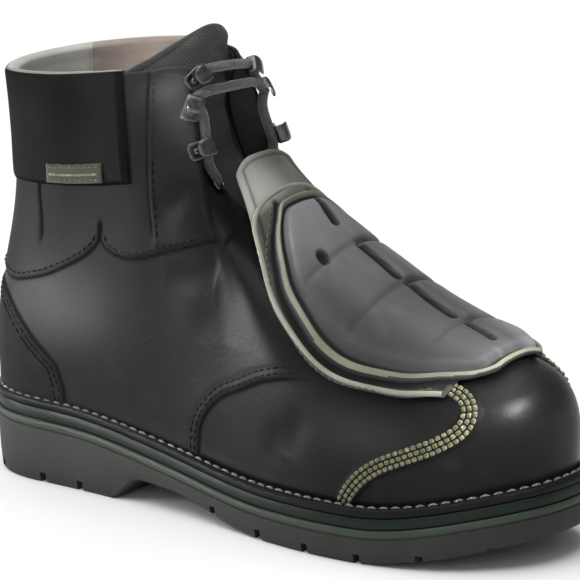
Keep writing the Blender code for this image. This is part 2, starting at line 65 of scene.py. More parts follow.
TOPLINE = [
    # place        x      half   z
    ("back",        12.0,  0.0, 183.0),
    ("back side",   23.0, 26.0, 184.5),
    ("side",        60.0, 40.0, 190.0),
    ("fore side",   97.0, 34.0, 195.0),
    ("corner",     122.5, 15.5, 196.5),
    ("hook high",  119.0, 12.5, 181.0),
    ("hook low",   123.0, 12.5, 162.0),
    ("bend",       135.0, 12.5, 144.0),
    ("eyelets",    159.0, 12.0, 128.0),
    ("low",        183.0,  8.5, 115.0),
    ("throat",     193.0,  0.0, 111.0),
]
PROFILE = [
    # place     foot  top   rise lean  reach fore  out   up
    ("heel",    0.00, 0.000, 52, .10,  62,  .24,  .00, -1.00),
    ("counter", 0.09, 0.120, 50, .08,  60,  .10, -.12, -1.00),
    ("ankle",   0.23, 0.270, 48, .10,  58,  .05, -.14, -1.00),
    ("waist",   0.38, 0.420, 44, .08,  46,  .12,  .10, -1.00),
    ("instep",  0.53, 0.535, 38, .07,  30,  .24,  .46,  -.84),
    ("ball",    0.68, 0.680, 37, .10,  25,  .50,  .55,  -.70),
    ("joint",   0.80, 0.810, 44, .14,  36,  .62,  .48,  -.74),
    ("cap",     0.91, 0.910, 66, .18,  76,  .74,  .30,  -.72),
    ("toe",     1.00, 1.000, 75, .14,  86,  .90,  .00,  -.48),
]
GUARD = [
    # place     x      z     lat   med   drop  power
    ("tab",   146.0, 162.0, 12.5, 22.0,  3.4, 2.0),
    ("neck",  153.0, 154.0, 15.8, 24.5,  5.6, 2.0),
    ("upper", 171.0, 142.0, 25.8, 31.0, 13.0, 2.0),
    ("mid",   200.0, 125.0, 40.1, 41.5, 26.1, 2.1),
    ("low",   228.0, 111.0, 46.5, 46.0, 29.8, 2.2),
    ("fore",  254.0, 101.0, 44.2, 43.5, 22.1, 2.3),
    ("front", 272.0,  97.0, 39.7, 38.0, 16.2, 2.3),
    ("nose",  289.0,  91.8, 31.0, 28.0, 12.3, 2.2),
]
FLAP_LOW, FLAP_T, FLAP_END = 3.7, 1.8, 0.935
PAD_SHARE = [
    # along, share of the flap's half width
    (0.150, 0.45), (0.190, 0.62), (0.227, 0.76), (0.265, 0.83), (0.315, 0.87), (0.363, 0.90), (0.442, 0.92),
    (0.563, 0.94), (0.650, 0.94), (0.750, 0.93), (0.825, 0.90), (0.905, 0.85), (0.958, 0.77), (1.000, 0.56),
]
TONGUE = [
    # place     x      z     lat   med   drop  power
    ("foot",  190.0, 107.0, 13.0, 13.0,  4.0, 2.0),
    ("low",   172.0, 116.5, 20.0, 20.0,  8.0, 2.0),
    ("mid",   152.0, 130.0, 24.0, 24.0, 11.0, 2.0),
    ("bend",  134.0, 143.5, 26.0, 26.0, 14.0, 2.0),
    ("shin",  121.3, 162.0, 28.0, 28.0, 20.0, 2.0),
    ("upper", 117.5, 181.3, 30.0, 30.0, 26.0, 2.2),
    ("top",   119.0, 199.0, 32.0, 32.0, 28.0, 2.4),
    ("edge",  121.0, 214.0, 31.0, 31.0, 27.0, 2.4),
]
TONGUE_ROUND = 0.19
FITTINGS = {-1: {"low": (0.517, 0.755), "middle": (0.506, 0.858), "top": (0.512, 0.964), "eyelet": (0.700, 0.930)},
            1: {"low": (0.517, 0.735), "middle": (0.506, 0.836), "top": (0.512, 0.926), "eyelet": (0.700, 0.930)}}
HOOK_LONG, HOOK_WIDE, HOOK_HIGH, HOOK_T = 11.0, 8.2, 6.4, 1.0
LACE_R = 2.2
COLLAR_U = 0.358

# seams of the upper, each side alike: share round the foot, share up the profile
SEAMS = {
    "heel":    [(-.02, .378), (.030, .372), (.075, .350), (.109, .318), (.125, .292), (.138, .265), (.155, .228), (.171, .192),
                (.189, .160), (.204, .130), (.211, .095), (.215, .052), (.218, -.02)],
    "counter": [(-.02, .415), (.050, .405), (.100, .385), (.126, .380), (.159, .398), (.193, .422), (.216, .445), (.238, .468),
                (.258, .490), (.273, .512), (.286, .537), (.292, .565), (.294, .610)],
    "ankle":   [(.294, .600), (.294, .565), (.297, .542), (.303, .526), (.312, .516), (.322, .509), (.336, .505), (.357, .505),
                (.381, .512), (.409, .522), (.438, .530), (.497, .545), (.560, .580), (.620, .620)],
    "strap":   [(.165, .720), (.166, .662), (.170, .625), (.173, .585), (.174, .545), (.172, .500)],
    "vamp":    [(.447, -.02), (.449, .025), (.454, .095), (.471, .158), (.506, .219), (.550, .260), (.604, .304), (.655, .339),
                (.701, .367), (.745, .390), (.790, .408), (.840, .430)],
    "toe":     [(.702, -.02), (.706, .005), (.716, .050), (.740, .105), (.771, .143), (.812, .167), (.849, .181), (.878, .201),
                (.894, .227), (.908, .275), (.915, .323), (.917, .365), (.915, .410), (.908, .470)],
    "eyestay": [(.412, 1.0), (.404, .88), (.398, .76), (.395, .66), (.400, .535)],
}


# ------------------------------------------------------------------ curves and surfaces
def smooth(xs, ys, x, level_ends=False):
    xs, ys, x = (np.asarray(a, float) for a in (xs, ys, x))
    step, n = np.diff(xs), len(xs)
    slope, m = np.diff(ys) / step, np.zeros(len(xs))
    for i in range(1, n - 1):
        if slope[i - 1] * slope[i] > 0:
            a, b = 2 * step[i] + step[i - 1], step[i] + 2 * step[i - 1]
            m[i] = (a + b) / (a / slope[i - 1] + b / slope[i])
    if not level_ends:
        m[0], m[-1] = slope[0], slope[-1]
    q = np.clip(x, xs[0], xs[-1])
    i = np.clip(np.searchsorted(xs, q, side="right") - 1, 0, n - 2)
    t = (q - xs[i]) / step[i]
    return ((2 * t**3 - 3 * t**2 + 1) * ys[i] + (t**3 - 2 * t**2 + t) * step[i] * m[i]
            + (-2 * t**3 + 3 * t**2) * ys[i + 1] + (t**3 - t**2) * step[i] * m[i + 1])


def curve_through(points, n):
    p = np.asarray(points, float)
    s = np.r_[0, np.cumsum(np.sqrt(np.linalg.norm(np.diff(p, axis=0), axis=1)))]
    tan = np.zeros_like(p)
    for i in range(len(p)):
        if i in (0, len(p) - 1):
            j = max(i, 1)
            tan[i] = (p[j] - p[j - 1]) / (s[j] - s[j - 1])
        else:
            a, b = s[i] - s[i - 1], s[i + 1] - s[i]
            tan[i] = ((p[i] - p[i - 1]) / a * b + (p[i + 1] - p[i]) / b * a) / (a + b)
    q = np.linspace(0, s[-1], n)
    i = np.clip(np.searchsorted(s, q) - 1, 0, len(p) - 2)
    h = (s[i + 1] - s[i])[:, None]
    t = (q - s[i])[:, None] / h
    return ((2 * t**3 - 3 * t**2 + 1) * p[i] + (t**3 - 2 * t**2 + t) * h * tan[i]
            + (-2 * t**3 + 3 * t**2) * p[i + 1] + (t**3 - t**2) * h * tan[i + 1])


def lengths(p):
    return np.r_[0, np.cumsum(np.linalg.norm(np.diff(p[:, :3], axis=0), axis=1))]


def at_shares(points, shares):
    s = lengths(points)
    return np.stack([np.interp(shares, s / s[-1], points[:, k]) for k in range(points.shape[1])], -1)


def even(points, pitch):
    s = lengths(points)
    n = max(2, int(round(s[-1] / pitch)) + 1)
    return at_shares(points, np.linspace(0, 1, n))


def unit(a):
    return a / np.maximum(np.linalg.norm(a, axis=-1, keepdims=True), 1e-9)


def step01(x):
    x = np.clip(x, 0, 1)
    return x * x * (3 - 2 * x)


def end_round(x, length, power, heel):
    r = (length - x) / length if heel else (x - LENGTH + length) / length
    return np.maximum(0, 1 - np.clip(r, 0, 1) ** power) ** (1 / power)


def outline(x):
    places = [0, 45, WAIST_X, BALL_X, BALL_X + 40, LENGTH]
    lat = smooth(places, [HEEL_W, HEEL_W, WAIST_LAT, BALL_LAT, BALL_LAT - 0.5, BALL_LAT - 5], x)
    med = smooth(places, [HEEL_W, HEEL_W, WAIST_MED, BALL_MED, BALL_MED - 0.5, BALL_MED - 5], x)
    heel = end_round(x, HEEL_ROUND, 2.3, True)
    mid = TOE_IN * np.clip((x - 180) / (LENGTH - 180), 0, 1) ** 2
    return (mid - lat * heel * end_round(x, TOE_ROUND_LAT, 2.25, False),
            mid + med * heel * end_round(x, TOE_ROUND_MED, 2.4, False))


def edge_z(x):
    return smooth([0, 60, 185, 235, LENGTH],
                  [EDGE_HEEL + 0.6, EDGE_HEEL - 0.5, EDGE_BALL, EDGE_BALL + 0.4, EDGE_BALL + TOE_SPRING], x)


def bottom_z(x):
    return smooth([0, HEEL_BREAST, ARCH_FRONT, 122, 166, 186, 232, 268, LENGTH],
                  [0, 0, ARCH, ARCH * 0.9, 1.6, 0, 0, TOE_SPRING * 0.33, TOE_SPRING + 1], x)


def edge_line(inset_heel, inset_fore, n=720):
    x = LENGTH * (1 - np.cos(np.linspace(0, pi, n + 1))) / 2
    lat, med = outline(x)
    line = np.concatenate([np.stack([x, lat], -1), np.stack([x, med], -1)[-2:0:-1]])
    place = np.concatenate([x, x[-2:0:-1]])
    along = np.roll(line, -1, 0) - np.roll(line, 1, 0)
    along /= np.linalg.norm(along, axis=1)[:, None]
    out = np.stack([along[:, 1], -along[:, 0]], -1)
    if ((line - line.mean(0)) * out).sum() < 0:
        out = -out
    inset = smooth([0, 60, 200, LENGTH], [inset_heel, inset_heel, inset_fore, inset_fore], line[:, 0])
    return line - out * inset[:, None], out, place


def ring(inset_heel, inset_fore, height, n=360):
    """n points evenly round the sole's outline, drawn in; height is a function of the place along it."""
    line, _, place = edge_line(inset_heel, inset_fore)
    outer, _, _ = edge_line(0, 0)
    loop = np.c_[outer, line, place]
    loop = np.concatenate([loop, loop[:1]])
    s = np.r_[0, np.cumsum(np.linalg.norm(np.diff(loop[:, :2], axis=0), axis=1))]
    q = np.linspace(0, s[-1], n + 1)[:-1]
    x, y, at = (np.interp(q, s, loop[:, k]) for k in (2, 3, 4))
    return np.stack([x, y, height(at)], -1)


def ridge_y(x):
    return 3.0 * np.clip((np.asarray(x, float) - 110) / 100, 0, 1)


def topline(side):
    rows = [(x, side * half + ridge_y(x), z) for _, x, half, z in TOPLINE]
    turned = lambda a, b: (b[0], 2 * a[1] - b[1], b[2])
    c = curve_through([turned(rows[0], rows[1])] + rows + [turned(rows[-1], rows[-2])], 1400)
    near = lambda p: int(np.argmin(np.linalg.norm(c - np.array(p), axis=1)))
    return c[near(rows[0]):near(rows[-1]) + 1]


TOPS = {side: topline(side) for side in (-1, 1)}


def upper_at(side, u, v):
    """Outer face of the upper at pairs u, v (arrays of one shape); v below 0 goes straight down, 100 mm to 1."""
    u, v = np.broadcast_arrays(np.asarray(u, float), np.asarray(v, float))
    shape, u, v = u.shape, u.ravel(), v.ravel()
    line, out, _ = edge_line(LEDGE_HEEL, LEDGE_FORE)
    half = len(line) // 2
    k = np.arange(half + 1) if side < 0 else (-np.arange(half + 1)) % len(line)
    foot = at_shares(np.c_[line[k], edge_z(line[k, 0]) + WELT_HI, out[k]], u)
    col = lambda j: smooth([r[1] for r in PROFILE], [r[j] for r in PROFILE], u, j not in (2, 7))
    low, away = foot[:, :3], unit(foot[:, 3:5])
    top = at_shares(TOPS[side], col(2))
    aim = unit(np.stack([col(6), side * col(7), col(8)], -1))
    a = low + col(3)[:, None] * np.c_[away * col(4)[:, None], np.ones(len(u))]
    b = top + col(5)[:, None] * aim
    w = np.maximum(v, 0)[:, None]
    p = (1 - w)**3 * low + 3 * w * (1 - w)**2 * a + 3 * w * w * (1 - w) * b + w**3 * top
    p[:, 2] += np.minimum(v, 0) * 100
    return p.reshape(*shape, 3)


def upper_frame(side, u, v):
    e = 0.004
    p = upper_at(side, u, v)
    du = upper_at(side, u + e, v) - upper_at(side, u - e, v)
    dv = upper_at(side, u, v + e) - upper_at(side, u, v - e)
    n = unit(np.cross(du, dv) * (1 if side < 0 else -1))
    edge = TOPS[side]
    edge = edge[np.argmax(edge[:, 2]):]
    away = p - edge[np.argmin(np.linalg.norm(edge - p, axis=1))]
    away = unit(away - n * (away @ n))
    return p, n, away, np.cross(n, away)


def sheet_normals(p, wrap=False):
    if wrap:
        du = np.roll(p, -1, 0) - np.roll(p, 1, 0)
    else:
        du = np.gradient(p, axis=0)
    return unit(np.cross(du, np.gradient(p, axis=1)))


def saddle(rows, s, q, lift):
    t = np.array([r[1:] for r in rows], float)
    knots = lengths(np.c_[t[:, :2], np.zeros(len(t))])
    knots /= knots[-1]
    col = lambda j: smooth(knots, t[:, j], s)
    ridge = curve_through(t[:, :2], 400)
    sr = lengths(np.c_[ridge, np.zeros(len(ridge))])
    sr /= sr[-1]
    x, z = np.interp(s, sr, ridge[:, 0]), np.interp(s, sr, ridge[:, 1])
    tx = np.interp(s, sr, np.gradient(ridge[:, 0], sr))
    tz = np.interp(s, sr, np.gradient(ridge[:, 1], sr))
    way = np.sign(ridge[-1, 0] - ridge[0, 0]) / np.hypot(tx, tz)
    nx, nz = -tz * way, tx * way
    half = np.where(q < 0, col(2), col(3))
    h = lift - col(4) * np.abs(q) ** col(5)
    return np.stack([x + nx * h, ridge_y(x) + half * q, z + nz * h], -1)


LAT, MED = outline(np.linspace(0, LENGTH, 800))
ORIGIN = np.array([LENGTH / 2, (LAT.min() + MED.max()) / 2, 0])


def shift(points):
    return (np.asarray(points, float) - ORIGIN) * MM


def noise2(a, b, seed, waves=18, low=1.0, high=4.0):
    """Soft random field of two coordinates, about -1 to 1."""
    rng = np.random.default_rng(seed)
    f = np.zeros(np.broadcast(a, b).shape)
    for _ in range(waves):
        w, th, ph = rng.uniform(low, high), rng.uniform(0, 2 * pi), rng.uniform(0, 2 * pi)
        f = f + np.sin(2 * pi * w * (a * cos(th) + b * sin(th)) + ph) / w
    return f / np.abs(f).max()


# ------------------------------------------------------------------ meshes
def mesh_object(name, verts, faces, materials, slots=None, angle=None, attributes=None):
    """verts in mm."""
    me = bpy.data.meshes.new(name)
    me.from_pydata(shift(verts).tolist(), [], [tuple(int(i) for i in f) for f in faces])
    me.validate()
    for m in materials:
        me.materials.append(m)
    if slots is not None:
        me.polygons.foreach_set("material_index", np.asarray(slots, np.int32))
    me.shade_smooth()
    if angle:
        me.set_sharp_from_angle(angle=radians(angle))
    for key, values in (attributes or {}).items():
        at = me.attributes.new(key, "FLOAT", "POINT")
        at.data.foreach_set("value", np.asarray(values, np.float32))
    ob = bpy.data.objects.new(name, me)
    bpy.context.scene.collection.objects.link(ob)
    return ob


def grid_quads(n, m, start=0, wrap=False, flip=False):
    i, j = np.meshgrid(np.arange(n if wrap else n - 1), np.arange(m - 1), indexing="ij")
    a = start + i * m + j
    b = start + ((i + 1) % n) * m + j
    q = np.stack([a, b, b + 1, a + 1], -1).reshape(-1, 4)
    return q[:, ::-1] if flip else q


def welded(ob, dist=0.00002):
    bm = bmesh.new()
    bm.from_mesh(ob.data)
    bmesh.ops.remove_doubles(bm, verts=bm.verts, dist=dist)
    bmesh.ops.recalc_face_normals(bm, faces=bm.faces)
    if all(e.is_manifold for e in bm.edges) and bm.calc_volume(signed=True) < 0:
        bmesh.ops.reverse_faces(bm, faces=bm.faces)
    bm.to_mesh(ob.data)
    bm.free()
    ob.data.shade_smooth()
    return ob


def pillow(name, outer, inner, materials, slots=None, attributes=None):
    """Closed piece from two sheets of one grid whose rims coincide."""
    n, m = outer.shape[:2]
    verts = np.concatenate([outer.reshape(-1, 3), inner.reshape(-1, 3)])
    faces = np.concatenate([grid_quads(n, m), grid_quads(n, m, n * m, flip=True)])
    both = {k: np.concatenate([np.ravel(a), np.ravel(a)]) for k, a in (attributes or {}).items()}
    sl = None if slots is None else np.concatenate([slots.ravel(), slots.ravel()])
    return welded(mesh_object(name, verts, faces, materials, sl, attributes=both))


def edge_spread(n, power=1.8):
    """-1..1, closer together near both ends."""
    t = np.linspace(-1, 1, n)
    return np.sign(t) * (1 - (1 - np.abs(t)) ** power)


def tube_mesh(points, radius, sides=10, closed=False, flat=1.0, up=None):
    """Verts and quads of a tube along points (mm)."""
    p = np.asarray(points, float)
    n = len(p)
    r = np.broadcast_to(np.asarray(radius, float), (n,))
    tan = unit(np.roll(p, -1, 0) - np.roll(p, 1, 0)) if closed else unit(np.gradient(p, axis=0))
    if up is None:
        a = np.array([0.31, 0.22, 0.92])
        ups = []
        v = unit(a - tan[0] * (a @ tan[0]))
        for t in tan:
            v = unit(v - t * (v @ t))
            ups.append(v)
        up = np.array(ups)
    else:
        up = unit(up - tan * (up * tan).sum(-1, keepdims=True))
    side = np.cross(tan, up)
    th = np.linspace(0, 2 * pi, sides, endpoint=False)
    verts = p[:, None] + r[:, None, None] * (np.cos(th)[None, :, None] * side[:, None]
                                             + flat * np.sin(th)[None, :, None] * up[:, None])
    idx = np.arange(n * sides).reshape(n, sides)
    rows = range(n if closed else n - 1)
    faces = [(idx[i, j], idx[(i + 1) % n, j], idx[(i + 1) % n, (j + 1) % sides], idx[i, (j + 1) % sides])
             for i in rows for j in range(sides)]
    if not closed:
        faces.append(tuple(idx[0]))
        faces.append(tuple(idx[-1][::-1]))
    return verts.reshape(-1, 3), faces


class Bag:
    """Collects meshes that become one object."""
    def __init__(self):
        self.v, self.f, self.n = [], [], 0

    def add(self, verts, faces):
        self.v.append(np.asarray(verts, float))
        self.f += [tuple(int(i) + self.n for i in f) for f in faces]
        self.n += len(verts)

    def object(self, name, material, **kw):
        return mesh_object(name, np.concatenate(self.v), self.f, [material], **kw)


def stitches(bag, line, normal, length, gap, radius, sink=0.25, bow=0.35):
    """Row of short threads lying along a line on a surface, with the surface's normal at each point."""
    s = lengths(line)
    count = int(s[-1] / (length + gap))
    if count < 1:
        return
    ts = np.array([-.5, -.44, -.28, 0, .28, .44, .5])
    fat = np.array([.25, .72, 1, 1, 1, .72, .25])
    high = np.array([-.9, -.25, .45, .8, .45, -.25, -.9])
    th = np.linspace(0, 2 * pi, 6, endpoint=False)
    both = np.c_[line, normal]
    pitch = s[-1] / count
    for k in range(count):
        q = (k + .5) * pitch + ts * length
        c = np.stack([np.interp(q, s, both[:, j]) for j in range(6)], -1)
        p, n = c[:, :3], unit(c[:, 3:])
        t = unit(np.gradient(p, axis=0))
        b = np.cross(t, n)
        centre = p + n * (radius * (1 - sink) * high * bow / .35)[:, None]
        ringv = centre[:, None] + (radius * fat)[:, None, None] * (
            np.cos(th)[None, :, None] * b[:, None] + 0.8 * np.sin(th)[None, :, None] * n[:, None])
        idx = np.arange(42).reshape(7, 6)
        faces = [(idx[i, j], idx[i + 1, j], idx[i + 1, (j + 1) % 6], idx[i, (j + 1) % 6]) for i in range(6) for j in range(6)]
        faces += [tuple(idx[0][::-1]), tuple(idx[-1])]
        bag.add(ringv.reshape(-1, 3), faces)


# ------------------------------------------------------------------ materials
def material(name, base, roughness, metallic=0.0, sheen=0.0, coat=0.0, coat_rough=0.3, spec=0.5, sheen_rough=0.5):
    m = bpy.data.materials.new(name)
    m.use_nodes = True
    b = m.node_tree.nodes["Principled BSDF"]
    b.inputs["Base Color"].default_value = (*base, 1)
    b.inputs["Roughness"].default_value = roughness
    b.inputs["Metallic"].default_value = metallic
    b.inputs["Specular IOR Level"].default_value = spec
    b.inputs["Sheen Weight"].default_value = sheen
    b.inputs["Sheen Roughness"].default_value = sheen_rough
    b.inputs["Coat Weight"].default_value = coat
    b.inputs["Coat Roughness"].default_value = coat_rough
    return m


def node(m, kind, **inputs):
    n = m.node_tree.nodes.new(kind)
    for k, v in inputs.items():
        n.inputs[k.replace("_", " ")].default_value = v
    return n


def coords(m, scale=(1, 1, 1)):
    tc = m.node_tree.nodes.new("ShaderNodeTexCoord")
    mp = m.node_tree.nodes.new("ShaderNodeMapping")
    mp.inputs["Scale"].default_value = scale
    m.node_tree.links.new(tc.outputs["Object"], mp.inputs["Vector"])
    return mp.outputs["Vector"]


def ramp(m, source, stops):
    r = m.node_tree.nodes.new("ShaderNodeValToRGB")
    while len(r.color_ramp.elements) < len(stops):
        r.color_ramp.elements.new(0.5)
    for e, (pos, colour) in zip(r.color_ramp.elements, stops):
        e.position = pos
        e.color = (*colour, 1) if len(colour) == 3 else (colour[0],) * 3 + (1,)
    m.node_tree.links.new(source, r.inputs["Fac"])
    return r.outputs["Color"]


def mix(m, fac, a, b):
    x = m.node_tree.nodes.new("ShaderNodeMix")
    x.data_type = "RGBA"
    link = m.node_tree.links.new
    link(fac, x.inputs["Factor"])
    ins = [s for s in x.inputs if s.type == "RGBA"]
    for socket, value in zip(ins, (a, b)):
        if isinstance(value, tuple):
            socket.default_value = (*value, 1)
        else:
            link(value, socket)
    return [s for s in x.outputs if s.type == "RGBA"][0]


def attribute(m, name):
    a = m.node_tree.nodes.new("ShaderNodeAttribute")
    a.attribute_name = name
    return a.outputs["Fac"]


def bump(m, heights):
    """heights: list of (socket, distance in m, strength)."""
    link = m.node_tree.links.new
    last = None
    for source, distance, strength in heights:
        b = m.node_tree.nodes.new("ShaderNodeBump")
        b.inputs["Strength"].default_value = strength
        b.inputs["Distance"].default_value = distance
        link(source, b.inputs["Height"])
        if last is not None:
            link(last, b.inputs["Normal"])
        last = b.outputs["Normal"]
    link(last, m.node_tree.nodes["Principled BSDF"].inputs["Normal"])


def to_base(m, colour):
    m.node_tree.links.new(colour, m.node_tree.nodes["Principled BSDF"].inputs["Base Color"])


def to_rough(m, value):
    m.node_tree.links.new(value, m.node_tree.nodes["Principled BSDF"].inputs["Roughness"])


def leather(name, dark, light, rough=(0.36, 0.52), grain=520, grain_mm=0.10, coat=0.0, wear_highlight_colour=None, seam=False, sheen=0.0, spec=0.28, height_shade=None):
    """Leather: pebble grain, soft blotches of colour and gloss, painted shade (darker, duller) at seams and grooves,
    paler worn patches and painted highlights, and optional painted shade towards the bottom.
    """
    m = material(name, dark, rough[0], coat=coat, coat_rough=0.34, sheen=sheen, spec=spec)
    v = coords(m)
    big = node(m, "ShaderNodeTexNoise", Scale=26.0, Detail=4.0, Roughness=0.55)
    fine = node(m, "ShaderNodeTexNoise", Scale=grain * 0.55, Detail=3.0, Roughness=0.6)
    cell = node(m, "ShaderNodeTexVoronoi", Scale=float(grain))
    for n in (big, fine, cell):
        m.node_tree.links.new(v, n.inputs["Vector"])
    colour = ramp(m, big.outputs["Fac"], [(0.30, dark), (0.72, light)])
    # painted shade: the colour goes darker towards the bottom, below the given span of height
    if height_shade:
        split = m.node_tree.nodes.new("ShaderNodeSeparateXYZ")
        m.node_tree.links.new(v, split.inputs["Vector"])
        span = m.node_tree.nodes.new("ShaderNodeMapRange")
        span.inputs["From Min"].default_value, span.inputs["From Max"].default_value = height_shade[0], height_shade[1]
        m.node_tree.links.new(split.outputs["Z"], span.inputs["Value"])
        colour = mix(m, span.outputs["Result"], height_shade[2], colour)
    # painted shade from the shade mask: darker and duller there
    if seam:
        mask = attribute(m, "shade_mask")
        colour = mix(m, mask, colour, tuple(c * 0.10 for c in dark))
    # paler where the mask says: worn patches and painted highlights
    if wear_highlight_colour is not None:
        colour = mix(m, attribute(m, "wear_highlight_mask"), colour, wear_highlight_colour)
    to_base(m, colour)
    gloss = ramp(m, big.outputs["Fac"], [(0.25, (rough[1],)), (0.75, (rough[0],))])
    if seam:
        gloss = mix(m, mask, gloss, (0.95, 0.95, 0.95))
    if wear_highlight_colour is not None:
        gloss = mix(m, attribute(m, "wear_highlight_mask"), gloss, (0.80, 0.80, 0.80))
    to_rough(m, gloss)
    bump(m, [(cell.outputs["Distance"], grain_mm * MM, 0.55), (fine.outputs["Fac"], grain_mm * 1.2 * MM, 0.5)])
    return m


def cloth(name, dark, light, pitch_mm, rough=0.88, sheen=0.25, depth_mm=0.18, blotch=40.0):
    """Woven cloth: two crossed waves for the threads, with soft blotches."""
    m = material(name, dark, rough, sheen=sheen)
    v = coords(m)
    k = 2 * pi / (pitch_mm * MM) / 20.0
    warp = node(m, "ShaderNodeTexWave", Scale=k, Distortion=1.2, Detail=1.0)
    weft = node(m, "ShaderNodeTexWave", Scale=k, Distortion=1.2, Detail=1.0)
    warp.bands_direction, weft.bands_direction = "DIAGONAL", "Z"
    big = node(m, "ShaderNodeTexNoise", Scale=blotch, Detail=5.0, Roughness=0.65)
    for n in (warp, weft, big):
        m.node_tree.links.new(v, n.inputs["Vector"])
    colour = ramp(m, big.outputs["Fac"], [(0.28, dark), (0.74, light)])
    to_base(m, colour)
    bump(m, [(warp.outputs["Fac"], depth_mm * MM, 0.5), (weft.outputs["Fac"], depth_mm * MM, 0.5)])
    return m


def rubber(name, dark, light, rough=0.62, grain=900, spec=0.4, streak=False):
    m = material(name, dark, rough, spec=spec)
    v = coords(m, (1, 1, 0.25) if streak else (1, 1, 1))
    big = node(m, "ShaderNodeTexNoise", Scale=34.0, Detail=6.0, Roughness=0.7)
    fine = node(m, "ShaderNodeTexNoise", Scale=float(grain), Detail=2.0, Roughness=0.6)
    for n in (big, fine):
        m.node_tree.links.new(v, n.inputs["Vector"])
    to_base(m, ramp(m, big.outputs["Fac"], [(0.30, dark), (0.72, light)]))
    to_rough(m, ramp(m, big.outputs["Fac"], [(0.3, (rough - 0.08,)), (0.7, (rough + 0.1,))]))
    bump(m, [(fine.outputs["Fac"], 0.14 * MM, 0.5), (big.outputs["Fac"], 0.3 * MM, 0.3)])
    return m


def thread(name, dark, light, spec=0.4, sheen=0.15):
    m = material(name, dark, 0.75, sheen=sheen, spec=spec)
    v = coords(m)
    n = node(m, "ShaderNodeTexNoise", Scale=240.0, Detail=3.0, Roughness=0.6)
    ply = node(m, "ShaderNodeTexWave", Scale=420.0, Distortion=2.0)
    ply.bands_direction = "DIAGONAL"
    for t in (n, ply):
        m.node_tree.links.new(v, t.inputs["Vector"])
    to_base(m, ramp(m, n.outputs["Fac"], [(0.3, dark), (0.7, light)]))
    bump(m, [(ply.outputs["Fac"], 0.12 * MM, 0.6)])
    return m


def metal(name, base, rough=0.32):
    m = material(name, base, rough, metallic=1.0)
    v = coords(m)
    n = node(m, "ShaderNodeTexNoise", Scale=300.0, Detail=4.0, Roughness=0.6)
    m.node_tree.links.new(v, n.inputs["Vector"])
    to_base(m, ramp(m, n.outputs["Fac"], [(0.35, tuple(c * 0.7 for c in base)), (0.7, base)]))
    to_rough(m, ramp(m, n.outputs["Fac"], [(0.3, (rough - 0.06,)), (0.7, (rough + 0.12,))]))
    bump(m, [(n.outputs["Fac"], 0.03 * MM, 0.3)])
    return m


BLACK = leather("Black full grain leather", (0.0046, 0.0046, 0.0049), (0.0088, 0.0088, 0.0092), (0.31, 0.44), wear_highlight_colour=(0.105, 0.105, 0.105), seam=True, spec=0.12)
NUBUCK = leather("Matt black collar leather", (0.0062, 0.0066, 0.0065), (0.0108, 0.0114, 0.0113), (0.70, 0.85), grain=700, grain_mm=0.08, seam=True, wear_highlight_colour=(0.03, 0.03, 0.03), spec=0.07)
LINING = cloth("Taupe lining", (0.235, 0.188, 0.158), (0.370, 0.312, 0.268), 1.1, depth_mm=0.07)
HEEL_LINING = cloth("Pale grey heel lining", (0.340, 0.338, 0.312), (0.500, 0.498, 0.468), 1.1, depth_mm=0.06)
FOOTBED = cloth("Footbed felt", (0.075, 0.062, 0.052), (0.125, 0.105, 0.09), 1.8)
TONGUE_CLOTH = cloth("Black padded tongue cloth", (0.0150, 0.0156, 0.0148), (0.032, 0.0332, 0.0318), 1.3, rough=0.82, sheen=0.06)
BINDING = leather("Black binding", (0.006, 0.006, 0.006), (0.011, 0.011, 0.011), (0.5, 0.6), grain=800)
# the last argument of both guard leathers is painted shade towards the bottom
FLAP_GREY = leather("Grey guard leather", (0.047, 0.048, 0.037), (0.077, 0.078, 0.062), (0.42, 0.56), grain=460, wear_highlight_colour=(0.400, 0.400, 0.385), seam=True, spec=0.13, height_shade=(0.098, 0.146, (0.014, 0.0145, 0.010)))
PAD_GREY = leather("Dark grey moulded guard", (0.130, 0.130, 0.133), (0.186, 0.186, 0.190), (0.46, 0.60), grain=600, wear_highlight_colour=(0.245, 0.245, 0.25), seam=True, spec=0.15, height_shade=(0.070, 0.150, (0.024, 0.024, 0.026)))
RIM = leather("Pale collar edge", (0.19, 0.185, 0.165), (0.30, 0.295, 0.27), (0.5, 0.65), grain=800)
KHAKI = thread("Khaki thread", (0.085, 0.084, 0.038), (0.215, 0.213, 0.115))
PALE_EDGE = leather("Pale olive edge", (0.185, 0.185, 0.145), (0.320, 0.320, 0.268), (0.5, 0.65), grain=700)
KHAKI_PIPE = leather("Khaki piping", (0.130, 0.131, 0.090), (0.250, 0.251, 0.190), (0.55, 0.7), grain=700)
LABEL = cloth("Plain woven tab", (0.014, 0.0142, 0.006), (0.029, 0.029, 0.013), 0.9, rough=0.85)
PALE = thread("Pale grey thread", (0.095, 0.095, 0.087), (0.215, 0.215, 0.20))
OLIVE_THREAD = thread("Olive thread", (0.040, 0.041, 0.028), (0.075, 0.076, 0.055))
DARK_THREAD = thread("Black thread", (0.0045, 0.0045, 0.0045), (0.012, 0.012, 0.0115), spec=0.12, sheen=0.02)
OUTSOLE = rubber("Outsole rubber", (0.0225, 0.0236, 0.0218), (0.0405, 0.0418, 0.0394), streak=True, spec=0.2)
BEAD = rubber("Green grey edge bead", (0.028, 0.038, 0.029), (0.052, 0.065, 0.053), rough=0.5, spec=0.2)
MIDSOLE = rubber("Green black midsole", (0.004, 0.009, 0.006), (0.008, 0.015, 0.011), rough=0.5, spec=0.2)
WELTING = rubber("Black welt", (0.0032, 0.0038, 0.0032), (0.0065, 0.0072, 0.0065), rough=0.5, spec=0.13)
LACE = cloth("Dark grey lace", (0.020, 0.020, 0.020), (0.062, 0.062, 0.060), 0.9, rough=0.6, sheen=0.3, depth_mm=0.25, blotch=200.0)
NICKEL = metal("Dark nickel", (0.125, 0.125, 0.130), rough=0.26)


